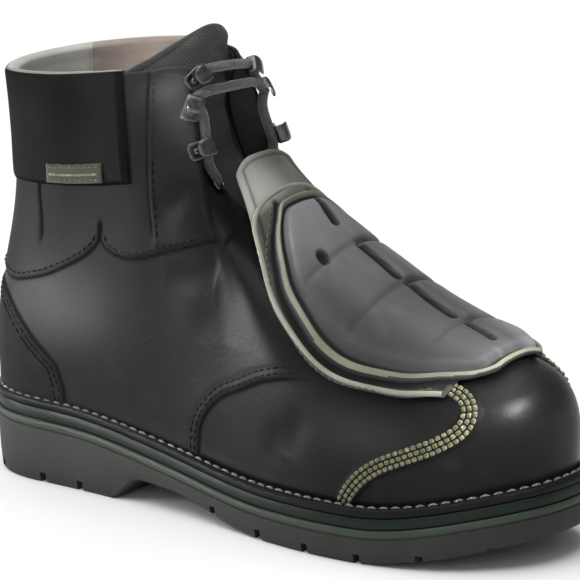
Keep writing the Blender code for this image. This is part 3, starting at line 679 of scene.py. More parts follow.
def place(ob, *nodes, slot=None):
    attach(ob, "root")
    if nodes:
        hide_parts(*nodes)
    return ob


# ------------------------------------------------------------------ upper
NL, NM, NV = 300, 150, 140
ul = np.linspace(0, 1, NL + 1)
um = np.linspace(0, 1, NM + 1)
vv = np.r_[-0.038, np.linspace(0, 1, NV) ** 0.97]


def seam_data(side, name, n=160):
    uv = curve_through(SEAMS[name], n)
    return uv, upper_at(side, uv[:, 0], uv[:, 1])


def signed_distance(side, name, u, v, p):
    """Distance in mm from a seam; positive on the left of its direction in the flat pattern."""
    uv, line = seam_data(side, name)
    scale = np.array([400.0, 160.0])
    t = np.gradient(uv * scale, axis=0)
    flat, fu, fv = p.reshape(-1, 3), u.ravel(), v.ravel()
    dist, near = np.empty(len(flat)), np.empty(len(flat), int)
    for a in range(0, len(flat), 8000):
        d = np.linalg.norm(flat[a:a + 8000, None] - line[None], axis=2)
        near[a:a + 8000] = d.argmin(1)
        dist[a:a + 8000] = d.min(1)
    du, dv = (fu - uv[near, 0]) * scale[0], (fv - uv[near, 1]) * scale[1]
    cross = t[near, 0] * dv - t[near, 1] * du
    return (np.sign(cross) * dist).reshape(u.shape), near.reshape(u.shape) / (len(uv) - 1)


def trough(side, u, v, p, points, depth, width):
    """Soft crease along a short line of the pattern."""
    uv = curve_through(points, 40)
    line = upper_at(side, uv[:, 0], uv[:, 1])
    flat = p.reshape(-1, 3)
    h = np.empty(len(flat))
    for a in range(0, len(flat), 8000):
        d = np.linalg.norm(flat[a:a + 8000, None] - line[None], axis=2)
        i = d.argmin(1)
        s = i / (len(line) - 1)
        h[a:a + 8000] = -depth * np.exp(-(d.min(1) / width) ** 2) * np.sin(pi * np.clip(s, 0.02, 0.98)) ** 0.6
    return h.reshape(u.shape)


def eased(a, passes=26):
    """A field over the pattern's grid, evened out so that its folds don't show as lines."""
    a = np.array(a, float)
    for _ in range(passes if a.ndim == 2 else 0):
        a[1:-1] = 0.25 * a[:-2] + 0.5 * a[1:-1] + 0.25 * a[2:]
        a[:, 1:-1] = 0.25 * a[:, :-2] + 0.5 * a[:, 1:-1] + 0.25 * a[:, 2:]
    return a


CREASES = [
    # line in the pattern, depth mm, width mm
    ([(.405, .615), (.455, .640), (.505, .690)], 1.1, 6.0),
    ([(.415, .480), (.470, .470), (.535, .490)], 0.9, 7.5),
    ([(.545, .350), (.570, .430), (.585, .520)], 0.5, 8.0),
    ([(.470, .330), (.500, .400), (.510, .470)], 0.5, 8.0),
    ([(.620, .110), (.645, .200), (.680, .270)], 1.0, 7.0),
    ([(.580, .070), (.600, .150), (.625, .220)], 0.7, 6.0),
]


def sculpt(side, u, v, p):
    """Height over the upper's plain form, painted shade at its seams, laps and panels, and worn patches with painted
    highlights, for one side.
    """
    h = np.zeros(u.shape)
    # seam: painted shade, a dark line under each lapping edge as its shadow, the strap's groove and some whole panels
    # darker; duller leather there too
    seam = np.zeros(u.shape)
    bulge = np.exp(-((u - 0.22) / 0.15) ** 2) * np.exp(-((v - 0.24) / 0.17) ** 2)
    h += 2.0 * bulge * step01(u / 0.12)                      # the quarter swells over the heel bone
    d, _ = signed_distance(side, "heel", u, v, p)            # heel counter laps over the quarter
    back = d if d[(u < 0.1) & (v < 0.15)].mean() > 0 else -d
    h += 0.9 * step01(back / 1.2 + 0.3) * np.exp(-np.maximum(back, 0) / 60)
    seam += np.exp(-((back + 0.5) / 1.0) ** 2)
    h -= 0.28 * np.exp(-((back - 3.0) / 0.9) ** 2) + 0.28 * np.exp(-((back - 6.2) / 0.9) ** 2)
    seam += 0.42 * step01(back / 2.0)                       # painted shade over the whole heel counter, which is also duller
    d, s = signed_distance(side, "counter", u, v, p)         # ankle pieces lap over the quarter
    h += 0.9 * step01(d / 1.2 + 0.3) * np.exp(-eased(np.maximum(d, 0)) / 16) * eased(step01((1 - s) * 5))
    # painted shade over the ankle pieces above the counter line
    above = step01((v - np.interp(u, [0.0, 0.126, 0.193, 0.258, 0.292, 0.312, 0.357, 0.409, 0.470], [0.412, 0.384, 0.424, 0.492, 0.560, 0.518, 0.507, 0.524, 0.540])) / 0.012)
    seam += 0.30 * above * step01((0.47 - u) / 0.05)
    seam += np.exp(-((d + 0.4) / 1.0) ** 2) * step01((1 - s) * 30)
    d, s = signed_distance(side, "ankle", u, v, p)
    h += 0.9 * step01(d / 1.2 + 0.3) * np.exp(-eased(np.maximum(d, 0)) / 16) * eased(step01(s * 5)) * (s < 0.999)
    seam += np.exp(-((d + 0.4) / 1.0) ** 2) * step01((1 - s) * 8) * step01(s * 30)
    d, s = signed_distance(side, "strap", u, v, p)
    h -= 0.6 * np.exp(-(d / 1.1) ** 2) * step01((1 - s) * 5)
    # painted shade in the strap's groove
    seam += 0.8 * np.exp(-(d / 1.1) ** 2) * step01((1 - s) * 5)
    d, s = signed_distance(side, "vamp", u, v, p)            # quarter laps over the vamp
    fade = step01((0.80 - u) / 0.17)                         # runs out flat under the guard
    h += 1.0 * step01(d / 1.2 + 0.3) * np.exp(-np.maximum(d, 0) / 22) * (s > 0.001) * (s < 0.999) * fade
    seam += np.exp(-((d + 0.5) / 1.0) ** 2) * fade
    h -= (0.25 * np.exp(-((d - 2.4) / 0.8) ** 2) + 0.25 * np.exp(-((d - 5.0) / 0.8) ** 2)) * (s < 0.999) * fade
    d, s = signed_distance(side, "toe", u, v, p)             # toe piece laps over the vamp
    h += 0.9 * step01((d + 5.0) / 1.2) * step01((5.2 - d) / 3.0) * (s < 0.999)
    seam += 0.6 * np.exp(-((d + 4.6) / 1.1) ** 2)
    d, s = signed_distance(side, "eyestay", u, v, p)
    fore = -d if d[(u < 0.3) & (v > 0.7)].mean() > 0 else d
    h += 0.8 * step01(fore / 1.2 + 0.3) * np.exp(-np.maximum(fore, 0) / 20) * (s > 0.001) * (s < 0.999)
    seam += 0.7 * np.exp(-((fore + 0.4) / 0.9) ** 2) * step01((1 - s) * 10)
    for points, depth, width in CREASES:
        h += trough(side, u, v, p, points, depth, width)
    soft = noise2(p[..., 0] / 100, (p[..., 2] + 0.6 * p[..., 1]) / 100, 11 if side < 0 else 12, low=0.8, high=4.5)
    h += 0.22 * soft * step01(v / 0.1) * step01((1 - v) / 0.08)
    roll = step01((0.06 - v) / 0.06)
    h += 0.5 * roll * step01((v + 0.01) / 0.03)
    # worn patches low on the quarter and at the toe
    upper_wear_highlight = 0.14 * np.clip(noise2(p[..., 0] / 60, p[..., 2] / 60, 21, low=1.0, high=7.0), 0, 1) ** 2
    upper_wear_highlight *= np.exp(-((v - 0.10) / 0.12) ** 2) * 0.5 + 0.3 * np.exp(-((u - 0.97) / 0.05) ** 2)
    # painted highlight: a broad pale sheen on the quarter in front of the heel counter
    quarter_highlight = np.exp(-((u - 0.205) / 0.085) ** 2) * np.exp(-((v - 0.33) / 0.13) ** 2) * step01(-back / 3.0)
    upper_wear_highlight += 0.60 * quarter_highlight * (1 - np.clip(seam, 0, 1)) * (0.85 + 0.3 * np.clip(soft, -0.5, 0.5))
    lay = 1 - np.clip(seam, 0, 1)
    upper_wear_highlight += 0.34 * np.exp(-((u - 0.440) / 0.050) ** 2) * np.exp(-((v - 0.935) / 0.045) ** 2) * lay      # painted sheen beside the hooks
    upper_wear_highlight += 0.19 * np.exp(-((u - 0.765) / 0.070) ** 2) * np.exp(-((v - 0.235) / 0.090) ** 2) * lay      # and painted sheen where the vamp bends
    return h, np.clip(seam, 0, 1), np.clip(upper_wear_highlight, 0, 1)


halves = {}
for side, uu in ((-1, ul), (1, um)):
    U, V = np.meshgrid(uu, vv, indexing="ij")
    P = upper_at(side, U, V)
    halves[side] = (U, V, P, *sculpt(side, U, V, P))
join = lambda k: np.concatenate([halves[-1][k], halves[1][k][-2:0:-1]])
U, V, P, H, SEAM_SHADE, UPPER_WEAR_HIGHLIGHT = (join(k) for k in range(6))
for k, half in ((0, 6), (NL, 6)):                         # the two sides meet softly at heel and toe
    for j in range(-half, half + 1):
        w = 0.5 * (1 - abs(j) / (half + 1))
        i, o = (k + j) % len(H), (k - j) % len(H)
        if j > 0:
            a = (1 - w) * H[i] + w * H[o]
            b = (1 - w) * H[o] + w * H[i]
            H[i], H[o] = a, b
N = sheet_normals(P, wrap=True)
if (N[NL // 2, NV // 2, 1]) > 0:
    N = -N
OUT = P + N * H[..., None]
DV = unit(np.gradient(OUT, axis=1))[:, -1]
T, TN = OUT[:, -1], N[:, -1]
rim = [T + TN * (WALL / 2) * (cos(a) - 1) + DV * (WALL / 2) * sin(a) for a in np.linspace(0.3, pi - 0.3, 5)]
back = np.r_[np.linspace(NV - 1, 1, 34).astype(int), 0]
IN = (P - N * WALL)[:, back]
cols = len(OUT)
grid = np.concatenate([OUT, np.stack(rim, 1), IN], 1)
m_rows = grid.shape[1]
pad_attr = lambda a: np.concatenate([a, np.zeros((cols, m_rows - a.shape[1]))], 1)
faces = np.concatenate([grid_quads(cols, m_rows, wrap=True),
                        np.array([(i * m_rows, i * m_rows + m_rows - 1, ((i + 1) % cols) * m_rows + m_rows - 1, ((i + 1) % cols) * m_rows)
                                  for i in range(cols)])])
rowof = np.concatenate([np.tile(np.arange(m_rows - 1), cols), np.full(cols, m_rows)])
slots = (rowof >= OUT.shape[1] + 4).astype(int)
upper = mesh_object("upper_leather", grid.reshape(-1, 3), faces, [BLACK, LINING], slots,
                    attributes={"shade_mask": pad_attr(SEAM_SHADE).ravel(), "wear_highlight_mask": pad_attr(UPPER_WEAR_HIGHLIGHT).ravel()})
welded(upper)
place(upper, "upper", slot="black_leather")

# nearest point of the finished leather, for what lies on it
TREE = KDTree(OUT.shape[0] * OUT.shape[1])
FLAT, FLATN = OUT.reshape(-1, 3), sheet_normals(OUT, wrap=True).reshape(-1, 3)
if (FLATN * N.reshape(-1, 3)).sum() < 0:
    FLATN = -FLATN
for i, p in enumerate(FLAT):
    TREE.insert(Vector(p), i)
TREE.balance()


def lay_on(points, lift=0.0):
    """Points moved on to the leather, and its normals there."""
    out, nor = [], []
    for p in points:
        n, w, q = np.zeros(3), 0, np.zeros(3)
        for co, i, d in TREE.find_n(Vector(p), 4):
            k = 1 / (d + 0.3)
            n, q, w = n + FLATN[i] * k, q + (p - FLATN[i] * float((p - FLAT[i]) @ FLATN[i])) * k, w + k
        n = n / np.linalg.norm(n)
        out.append(q / w + n * lift)
        nor.append(n)
    return np.array(out), np.array(nor)


khaki, pale, black, olive = Bag(), Bag(), Bag(), Bag()


def seam_rows(bag, side, name, offsets, length, gap, radius, share=(0.0, 1.0), flip=False):
    """Rows of stitches beside a seam; offsets in mm to the left of its direction."""
    uv, line = seam_data(side, name, 260)
    s = lengths(line) / lengths(line)[-1]
    line = line[(s >= share[0]) & (s <= share[1])]
    for off in offsets:
        p, n = lay_on(line)
        t = unit(np.gradient(p, axis=0))
        left = np.cross(n, t) * (1 if side < 0 else -1)
        row, nor = lay_on(p + left * off)
        stitches(bag, row, nor, length, gap, radius)


for side in (-1, 1):
    seam_rows(khaki, side, "toe", (2.5, 0.0, -2.5), 2.6, 0.40, 0.95, (0.02, 0.98))
    seam_rows(black, side, "vamp", (2.4, 5.0), 3.0, 0.9, 0.42, (0.03, 0.66))
    seam_rows(black, side, "heel", (-3.0, -6.2), 3.0, 0.9, 0.42, (0.05, 0.97))
    seam_rows(black, side, "counter", (2.6,), 3.0, 0.9, 0.42, (0.03, 0.92))
    seam_rows(black, side, "ankle", (2.6,), 3.0, 0.9, 0.42, (0.08, 0.95))
    seam_rows(black, side, "eyestay", (2.6,), 3.0, 0.9, 0.40, (0.03, 0.95))

# ------------------------------------------------------------------ collar pad and lining
cu = np.concatenate([np.linspace(COLLAR_U, 0, 90), np.linspace(0, COLLAR_U, 90)[1:]])
cs = np.concatenate([np.full(90, -1), np.full(89, 1)])
cv = np.r_[np.linspace(0.700, 1.0, 46)]
band = np.concatenate([upper_at(-1, *np.meshgrid(np.linspace(COLLAR_U, 0, 90), cv, indexing="ij")),
                       upper_at(1, *np.meshgrid(np.linspace(0, COLLAR_U, 90), cv, indexing="ij"))[1:]])
bn = sheet_normals(band)
if bn[89, 20, 0] > 0:
    bn = -bn
nb, mb = band.shape[:2]
ends = np.minimum(np.arange(nb), nb - 1 - np.arange(nb)) * 0.9      # mm from the front edges
t = np.linspace(0, 1, mb)
puff = 0.55 + 2.1 * np.sin(pi * np.clip(t * 0.86 + 0.02, 0, 1))[None, :] ** 0.7 * np.sqrt(np.clip(ends / 9, 0.0, 1))[:, None]
puff += 0.25 * noise2(np.arange(nb)[:, None] / 90, t[None, :] * 0.7, 31, low=1.5, high=6)
puff *= np.sqrt(np.clip(ends / 2.0, 0.08, 1))[:, None]
share_u = np.abs(np.linspace(-COLLAR_U, COLLAR_U, nb))
puff *= (0.30 + 0.70 * step01(share_u / 0.14))[:, None]
bottom_roll = np.sqrt(np.clip(t * 18, 0.0, 1))[None, :]
outer = band + bn * (0.35 + puff * bottom_roll)[..., None]
top, tn = band[:, -1], bn[:, -1]
up = unit(np.gradient(band, axis=1)[:, -1])
arcs = []
r_out = 0.35 + (puff * bottom_roll)[:, -1]
r_in = 4.6
for a in np.linspace(0.12, 1, 12):
    th = a * pi
    reach = r_out * max(cos(th), 0) + r_in * min(cos(th), 0)
    arcs.append(top + tn * reach[:, None] + up * (2.6 * sin(th)))
inner_rows = []
depth = np.linspace(0, 62, 22)[1:]
col_dir = unit(band[:, 0] - band[:, -1])
for d in depth:
    k = np.clip(d / 57.0, 0, 0.999) * (mb - 1)
    i0 = mb - 1 - int(k)
    f = k - int(k)
    base = band[:, i0] * (1 - f) + band[:, max(i0 - 1, 0)] * f
    nn = bn[:, i0]
    thick = WALL + 0.25 + 1.8 * np.exp(-((d - 22) / 24) ** 2)
    hem = 1.0 * np.exp(-((np.arange(nb) - 112) / 1.0) ** 2)      # joint of the two lining pieces
    inner_rows.append(base - nn * (thick - hem)[:, None])
full = np.concatenate([outer, np.stack(arcs, 1), np.stack(inner_rows, 1)], 1)
rows_all = full.shape[1]
faces = grid_quads(nb, rows_all)
row_id = np.tile(np.arange(rows_all - 1), nb - 1)
slots = (row_id >= mb + 5).astype(int) + ((row_id >= mb + 3) & (row_id < mb + 5)) * 2
col_id = np.repeat(np.arange(nb - 1), rows_all - 1)
slots[(slots == 1) & (col_id >= 66) & (col_id < 112)] = 3
# painted shade, darker and duller, along the collar's bottom edge where it meets the upper and at both front ends
collar_shade = np.zeros((nb, rows_all))
collar_shade[:, :2] = 0.8
collar_shade[:4] = 0.7
collar_shade[-4:] = 0.7
collar = mesh_object("collar_padding", full.reshape(-1, 3), faces, [NUBUCK, LINING, RIM, HEEL_LINING], slots,
                     attributes={"shade_mask": collar_shade.ravel(), "wear_highlight_mask": np.zeros(nb * rows_all)})
sol = collar.modifiers.new("Hem", "SOLIDIFY")
sol.thickness, sol.offset = 0.3 * MM, -1
place(collar, "collar_pad", slot="collar")

# plain woven tab in the place of a label
lu, lv = np.meshgrid(np.linspace(0.196, 0.312, 40), np.linspace(0.709, 0.764, 14), indexing="ij")
lab = upper_at(-1, lu, lv)
ln = -sheet_normals(lab) if sheet_normals(lab)[20, 7, 1] > 0 else sheet_normals(lab)
a = np.minimum(np.minimum(np.linspace(0, 1, 40), np.linspace(1, 0, 40))[:, None] * 20, np.minimum(np.linspace(0, 1, 14), np.linspace(1, 0, 14))[None, :] * 7)
f = np.sqrt(np.clip(a, 0, 1))
label = pillow("plain_tab", lab + ln * (3.0 + 0.5 * f)[..., None], lab + ln * (3.0 - 0.5 * f)[..., None], [LABEL])
place(label, slot="collar")
for row in (2, 11):
    stitches(olive, (lab + ln * 3.42)[2:-2, row], ln[2:-2, row], 2.6, 0.35, 0.30)
khaki.add(*tube_mesh((lab + ln * 3.42)[3:-3, 6], 0.5, 8))

# ------------------------------------------------------------------ tongue
ns, nq = 110, 71
sg, qg = np.meshgrid((edge_spread(ns, 1.5) + 1) / 2, edge_spread(nq, 1.7), indexing="ij")
s_t = sg * (1 - TONGUE_ROUND * np.abs(qg) ** 2)
ridge_len = 135.0
half_w = 26.0
d_edge = np.minimum((1 - np.abs(qg)) * half_w, np.minimum((1 - sg) * ridge_len, sg * ridge_len + 1))
f = np.sqrt(1 - (1 - np.clip(d_edge / 4.5, 0, 1)) ** 2)
puffs = np.zeros_like(sg)
for centre, width in ((0.965, 0.050), (0.865, 0.032), (0.775, 0.038), (0.665, 0.055), (0.53, 0.06)):
    puffs += np.exp(-((s_t - centre) / width) ** 2)
puffs *= np.exp(-(np.abs(qg) / 0.62) ** 4)
lift = -0.6 + 1.2 * step01((s_t - 0.3) / 0.25) * step01((1.0 - s_t) / 0.12) + 2.6 * np.clip(puffs, 0, 1.1) + 0.35 * noise2(sg * 1.5, qg * 0.5, 41, low=1, high=5)
outer = saddle(TONGUE, s_t, qg, -2.6 + (lift + 2.6) * f)
inner = saddle(TONGUE, s_t, qg, -2.6 - 2.4 * f)
tongue = pillow("tongue_padding", outer, inner, [TONGUE_CLOTH])
place(tongue, "tongue", slot="tongue")
rimq = np.linspace(-0.98, 0.98, 120)
edge_pts = saddle(TONGUE, (1 - TONGUE_ROUND * np.abs(rimq) ** 2) * 0.985, rimq, -2.4)
bag = Bag()
bag.add(*tube_mesh(edge_pts, 1.9, 10))
binding = bag.object("tongue_binding", BINDING)
place(binding, slot="tongue")

# ------------------------------------------------------------------ guard: flap, moulded pad, piping
RIDGE = 161.0


def share(s):
    return smooth([r[0] for r in PAD_SHARE], [r[1] for r in PAD_SHARE], s)


ns, nq = 160, 141
sg, qg = np.meshgrid((edge_spread(ns, 1.4) + 1) / 2, edge_spread(nq, 1.6), indexing="ij")
s_f = 0.035 * np.abs(qg) ** 4 + sg * (FLAP_END - 0.035 * np.abs(qg) ** 4)
half_w = np.interp(s_f, [0, .066, .2, .41, .6, .78, .89, 1], [14, 18, 27, 40, 46, 44, 39, 30])
d_edge = np.minimum((1 - np.abs(qg)) * half_w, np.minimum(sg, 1 - sg) * RIDGE)
f = np.sqrt(1 - (1 - np.clip(d_edge / 1.3, 0, 1)) ** 2)
wave = 0.35 * noise2(sg * 1.2, qg * 0.6, 51, low=1, high=4) * np.clip(d_edge / 6, 0, 1)
mid = -FLAP_LOW - FLAP_T / 2 + 0.2
off_pad = (np.abs(qg) - share(np.maximum(s_f, PAD_SHARE[0][0]))) * half_w
# a darker line 3.2 mm in from the edge; painted shadow of the pad beside it; painted shade over the lower flange away
# from its edge; all duller too
flap_shade = np.exp(-((d_edge - 3.2) / 0.8) ** 2) * 0.6
flap_shade = np.maximum(flap_shade, 0.95 * np.exp(-((off_pad - 0.5) / 1.5) ** 4) * step01((s_f - PAD_SHARE[0][0] + 0.02) / 0.02))
flap_shade = np.maximum(flap_shade, 0.72 * step01((s_f - 0.30) / 0.20) * step01((d_edge - 1.6) / 0.8))
# painted highlight: the top tab paler, most on its lateral side; beside it worn patches and rubbed edges, none where
# shaded
tab_highlight = 0.84 * step01((0.165 - s_f) / 0.05) * (1.0 - 0.80 * step01((qg + 0.75) / 1.25)) * (0.60 + 0.40 * step01(s_f / 0.08))
flap_wear_highlight = np.clip(tab_highlight + 0.12 * np.clip(noise2(sg * 4, qg * 2, 52, low=1, high=6), 0, 1) + 0.10 * np.exp(-(d_edge / 3.0) ** 2), 0, 1)
flap_wear_highlight *= 1 - np.clip(flap_shade, 0, 1)
flap = pillow("guard_flap_leather", saddle(GUARD, s_f, qg, mid + (0.95 + wave) * f),
              saddle(GUARD, s_f, qg, mid - 0.95 * f), [FLAP_GREY], attributes={"shade_mask": flap_shade, "wear_highlight_mask": flap_wear_highlight})
place(flap, "guard_flap", slot="guard_leather")

pipe = Bag()
lat_s = np.linspace(FLAP_END, 0.165, 150)
q_top = np.linspace(-0.985, 0.985, 60)
path_s = np.r_[lat_s, 0.122 + 0.030 * np.abs(q_top) ** 5, lat_s[::-1]]
path_q = np.r_[np.full(150, -0.985), q_top, np.full(150, 0.985)]
rimline = saddle(GUARD, path_s, path_q, mid + 0.75)
rimline = even(rimline, 2.0)
rimline = np.stack([np.convolve(np.pad(rimline[:, k], 3, mode="edge"), np.ones(7) / 7, "valid") for k in range(3)], -1)
pipe.add(*tube_mesh(rimline, 1.2, 12))


# the pad: a rim, a groove inside it, then plates parted by cross grooves and slots along the ridge
ns, nq = 190, 131
sg, qg = np.meshgrid((edge_spread(ns, 1.35) + 1) / 2, edge_spread(nq, 1.5), indexing="ij")
S0 = PAD_SHARE[0][0] + 0.008
s_p = S0 + sg * (1.0 - S0)
q_p = qg * share(s_p)
half_w = np.interp(s_p, [0, .066, .2, .41, .6, .78, .89, 1], [14, 18, 27, 40, 46, 44, 39, 30])
d_side = (1 - np.abs(qg)) * half_w * share(s_p)
d_end = np.minimum(sg, 1 - sg) * (1 - S0) * RIDGE
d_edge = -np.log(np.exp(-d_side / 2.0) + np.exp(-d_end / 2.0)) * 2.0
d_edge = np.maximum(np.minimum(np.minimum(d_side, d_end), d_edge + 0.6), 0)
rimf = np.sqrt(1 - (1 - np.clip(d_edge / 1.1, 0, 1)) ** 2)
ring_h = 1.5 * np.exp(-((d_edge - 1.7) / 0.95) ** 2)
groove = -1.9 * np.exp(-((d_edge - 4.1) / 1.05) ** 2)
rise = 1.6 * step01((d_edge - 4.8) / 2.4)
top = -2.0 + ring_h + groove + rise
cross = np.zeros_like(top)
# dark: painted shade in the groove inside the rim and on the pad's outer wall, then in the cross grooves, slots and
# hole below
dark = np.exp(-((d_edge - 3.9) / 1.0) ** 4) + np.exp(-((d_edge + 0.2) / 0.8) ** 4)
for s0, bend in ((0.385, 0.020), (0.575, 0.030), (0.790, 0.030)):
    line = s0 + bend * np.abs(q_p) ** 1.5 - 0.018 * (q_p > 0) * q_p
    dist = (s_p - line) * RIDGE
    inside = step01((d_edge - 5.5) / 2)
    strength = np.where(q_p < 0.03, 0.75, 3.0)
    cross -= strength * np.exp(-(dist / 1.7) ** 2) * inside
    dark = np.maximum(dark, np.where(q_p < 0.03, 0.30, 0.6) * np.exp(-(dist / 1.5) ** 2) * inside)
SLOTS = [
    # along from, to, across from, to, width mm
    (0.205, 0.300, 0.22, 0.045, 2.6), (0.405, 0.548, 0.030, 0.000, 3.0), (0.590, 0.755, 0.020, -0.020, 3.0), (0.808, 0.905, -0.01, -0.08, 2.6),
]
for a, b, qa, qb, width in SLOTS:
    w = np.clip((s_p - a) / (b - a), 0, 1)
    dist = np.hypot((q_p - (qa + (qb - qa) * w)) * half_w, np.where((s_p < a) | (s_p > b), np.minimum(abs(s_p - a), abs(s_p - b)) * RIDGE, 0))
    hole = np.exp(-(dist / (width * 0.62)) ** 4)
    cross -= 3.4 * hole
    dark = np.maximum(dark, np.exp(-(dist / (width * 0.85)) ** 6))
dist = np.hypot((q_p + 0.455) * half_w * 1.15, (s_p - 0.374) * RIDGE * 0.62)
hole = np.exp(-(dist / 1.9) ** 4)
cross -= 3.2 * hole
dark = np.maximum(dark, np.exp(-(dist / 2.9) ** 6))
block = 0.9 * step01((q_p - 0.05) / 0.10) * step01((d_edge - 7) / 4)
plate = 0.22 * noise2(s_p * 2.2, q_p * 0.9, 61, low=1, high=5) * step01((d_edge - 7) / 3)
base = -FLAP_LOW + 0.55
height = np.maximum(top + cross + block + plate, base + 0.3)
# painted shade on the pad's lateral side
dark = np.maximum(dark, 0.44 * step01((-q_p - 0.38) / 0.30) * step01((s_p - 0.24) / 0.16))
outer = saddle(GUARD, s_p, q_p, base + (height - base) * rimf)
inner = saddle(GUARD, s_p, q_p, base - 0.25 * rimf)
mid_d = (d_edge[:-1, :-1] + d_edge[1:, :-1] + d_edge[:-1, 1:] + d_edge[1:, 1:]) / 4
cellrim = ((mid_d > 0.75) & (mid_d < 2.75)).astype(int)
# worn patches and a paler band along the plates' edges; painted light makes the far side and the top paler; none in the
# painted shade
pad_wear_highlight = 0.40 * np.clip(noise2(s_p * 3, q_p * 1.5, 62, low=1, high=7), 0, 1) ** 1.5 + 0.18 * np.exp(-((d_edge - 7.5) / 2.0) ** 2)
pad_wear_highlight = 0.6 * pad_wear_highlight + 0.55 * step01((q_p - 0.12) / 0.35) * step01((s_p - 0.30) / 0.15) + 0.30 * step01((0.42 - s_p) / 0.20)
pad_wear_highlight *= 1 - np.clip(dark * 1.2, 0, 1)
pad = pillow("guard_pad_moulded", outer, inner, [PAD_GREY, KHAKI_PIPE], cellrim,
             {"shade_mask": np.clip(dark, 0, 1), "wear_highlight_mask": np.clip(pad_wear_highlight, 0, 1)})
place(pad, "guard_pad", slot="guard_pad")

# stitch rows on the flap beside the pad, then the piping along its own edge
ss = np.linspace(0.97, 0.0, 260)
sp = S0 + ss * (FLAP_END - 0.02 - S0)
for sgn in (-1, 1):
    qline = sgn * (share(sp) + 3.2 / np.interp(sp, [0, .066, .2, .41, .6, .78, .89, 1], [14, 18, 27, 40, 46, 44, 39, 30]))
    row = saddle(GUARD, sp, qline, mid + 1.1)
    e = 0.004
    nrm = unit(np.cross(saddle(GUARD, sp + e, qline, mid) - saddle(GUARD, sp - e, qline, mid),
                        saddle(GUARD, sp, qline + e, mid) - saddle(GUARD, sp, qline - e, mid)))
    nrm *= np.sign(nrm[:, 2:3])
    stitches(olive, row, nrm, 2.9, 0.9, 0.42)
piping = pipe.object("guard_piping", PALE_EDGE, attributes={"shade_mask": np.zeros(pipe.n), "wear_highlight_mask": np.zeros(pipe.n)})
place(piping, slot="guard_leather")

# ------------------------------------------------------------------ sole
above = lambda up: (lambda x: edge_z(x) + up)
mix_z = lambda k: (lambda x: bottom_z(x) + k * (edge_z(x) - bottom_z(x)))
NR = 420


def stacked(name, loops, mats, band_slots=None, angle=40):
    n = len(loops[0])
    verts = np.concatenate(loops)
    faces, slots = [], []
    for k in range(len(loops) - 1):
        a, b = k * n, (k + 1) * n
        for i in range(n):
            j = (i + 1) % n
            faces.append((a + i, a + j, b + j, b + i))
            slots.append(band_slots[k] if band_slots else 0)
    for start in (0, (len(loops) - 1) * n):
        half = n // 2
        faces.append((start, start + 1, start + n - 1))
        slots.append(0)
        for i in range(1, half - 1):
            faces.append((start + i, start + i + 1, start + n - i - 1, start + n - i))
            slots.append(0)
        faces.append((start + half - 1, start + half, start + half + 1))
        slots.append(0)
    ob = mesh_object(name, verts, faces, mats, slots)
    bm = bmesh.new()
    bm.from_mesh(ob.data)
    bmesh.ops.recalc_face_normals(bm, faces=bm.faces)
    if bm.calc_volume(signed=True) < 0:
        bmesh.ops.reverse_faces(bm, faces=bm.faces)
    bm.to_mesh(ob.data)
    bm.free()
    ob.data.set_sharp_from_angle(angle=radians(angle))
    return ob


BEAD_R = 0.9
outsole = stacked("outsole_rubber", [
    ring(2.6, 2.6, bottom_z, NR), ring(1.6, 1.6, lambda x: bottom_z(x) + 1.0, NR), ring(0.9, 0.9, mix_z(0.30), NR),
    ring(0.5, 0.5, mix_z(0.62), NR), ring(0.5, 0.5, above(-4.4), NR), ring(0.9, 0.9, above(-4.0), NR), ring(0.7, 0.7, above(-3.3), NR),
    ring(0.15, 0.15, above(-2.8), NR), ring(-0.05, -0.05, above(-1.6), NR), ring(0.1, 0.1, above(-0.6), NR), ring(0.6, 0.6, above(-0.1), NR)],
    [OUTSOLE, BEAD], [0, 0, 0, 0, 0, 0, 1, 1, 1, 1])
cutter = bmesh.new()


def slot_box(x, lat, slant, width=SLOT_W, deep=SLOT_DEEP):
    far = -70.0 if lat else 70.0
    turn = Matrix.Rotation(radians(slant if lat else -slant), 4, "Z")
    size = Matrix.Diagonal((width, abs(far), 2 * deep, 1))
    move = Matrix.Translation((x, 0, float(bottom_z(np.array(x)))))
    made = bmesh.ops.create_cube(cutter, size=1.0, matrix=move @ turn @ Matrix.Translation((0, far / 2, 0)) @ size)
    for vert in made["verts"]:
        vert.co = Vector(shift(np.array(vert.co)))


for lat in (True, False):
    for x, slant in ((22, -14), (44, 0), (66, 0), (150, 0), (176, 4), (203, 6), (230, 8), (257, 12), (281, 24)):
        slot_box(x, lat, slant)
cut_me = bpy.data.meshes.new("slots")
cutter.to_mesh(cut_me)
cutter.free()
cut_ob = bpy.data.objects.new("slots", cut_me)
bpy.context.scene.collection.objects.link(cut_ob)
mod = outsole.modifiers.new("slots", "BOOLEAN")
mod.operation, mod.object, mod.solver, mod.use_self = "DIFFERENCE", cut_ob, "EXACT", True
bpy.context.view_layer.update()
cut_mesh = bpy.data.meshes.new_from_object(outsole.evaluated_get(bpy.context.evaluated_depsgraph_get()))
outsole.modifiers.clear()
bm = bmesh.new()                                             # no slivers or many-sided faces left by the cut
bm.from_mesh(cut_mesh)
bmesh.ops.remove_doubles(bm, verts=bm.verts, dist=2e-6)
bmesh.ops.dissolve_degenerate(bm, edges=bm.edges, dist=2e-6)
bmesh.ops.triangulate(bm, faces=[f for f in bm.faces if len(f.verts) > 4])
bm.to_mesh(cut_mesh)
bm.free()
cut_mesh.validate()
outsole.data = cut_mesh
outsole.data.set_sharp_from_angle(angle=radians(40))
bpy.data.objects.remove(cut_ob, do_unlink=True)
place(outsole, "outsole", slot="outsole_rubber")

midsole = stacked("midsole_edge", [ring(1.3, 1.3, above(MID_LO - 0.2), NR), ring(0.75, 0.75, above(MID_LO + 0.9), NR),
                                   ring(0.75, 0.75, above(MID_HI - 1.0), NR), ring(1.2, 1.2, above(MID_HI), NR)], [MIDSOLE])
place(midsole, "midsole", slot="midsole_rubber")

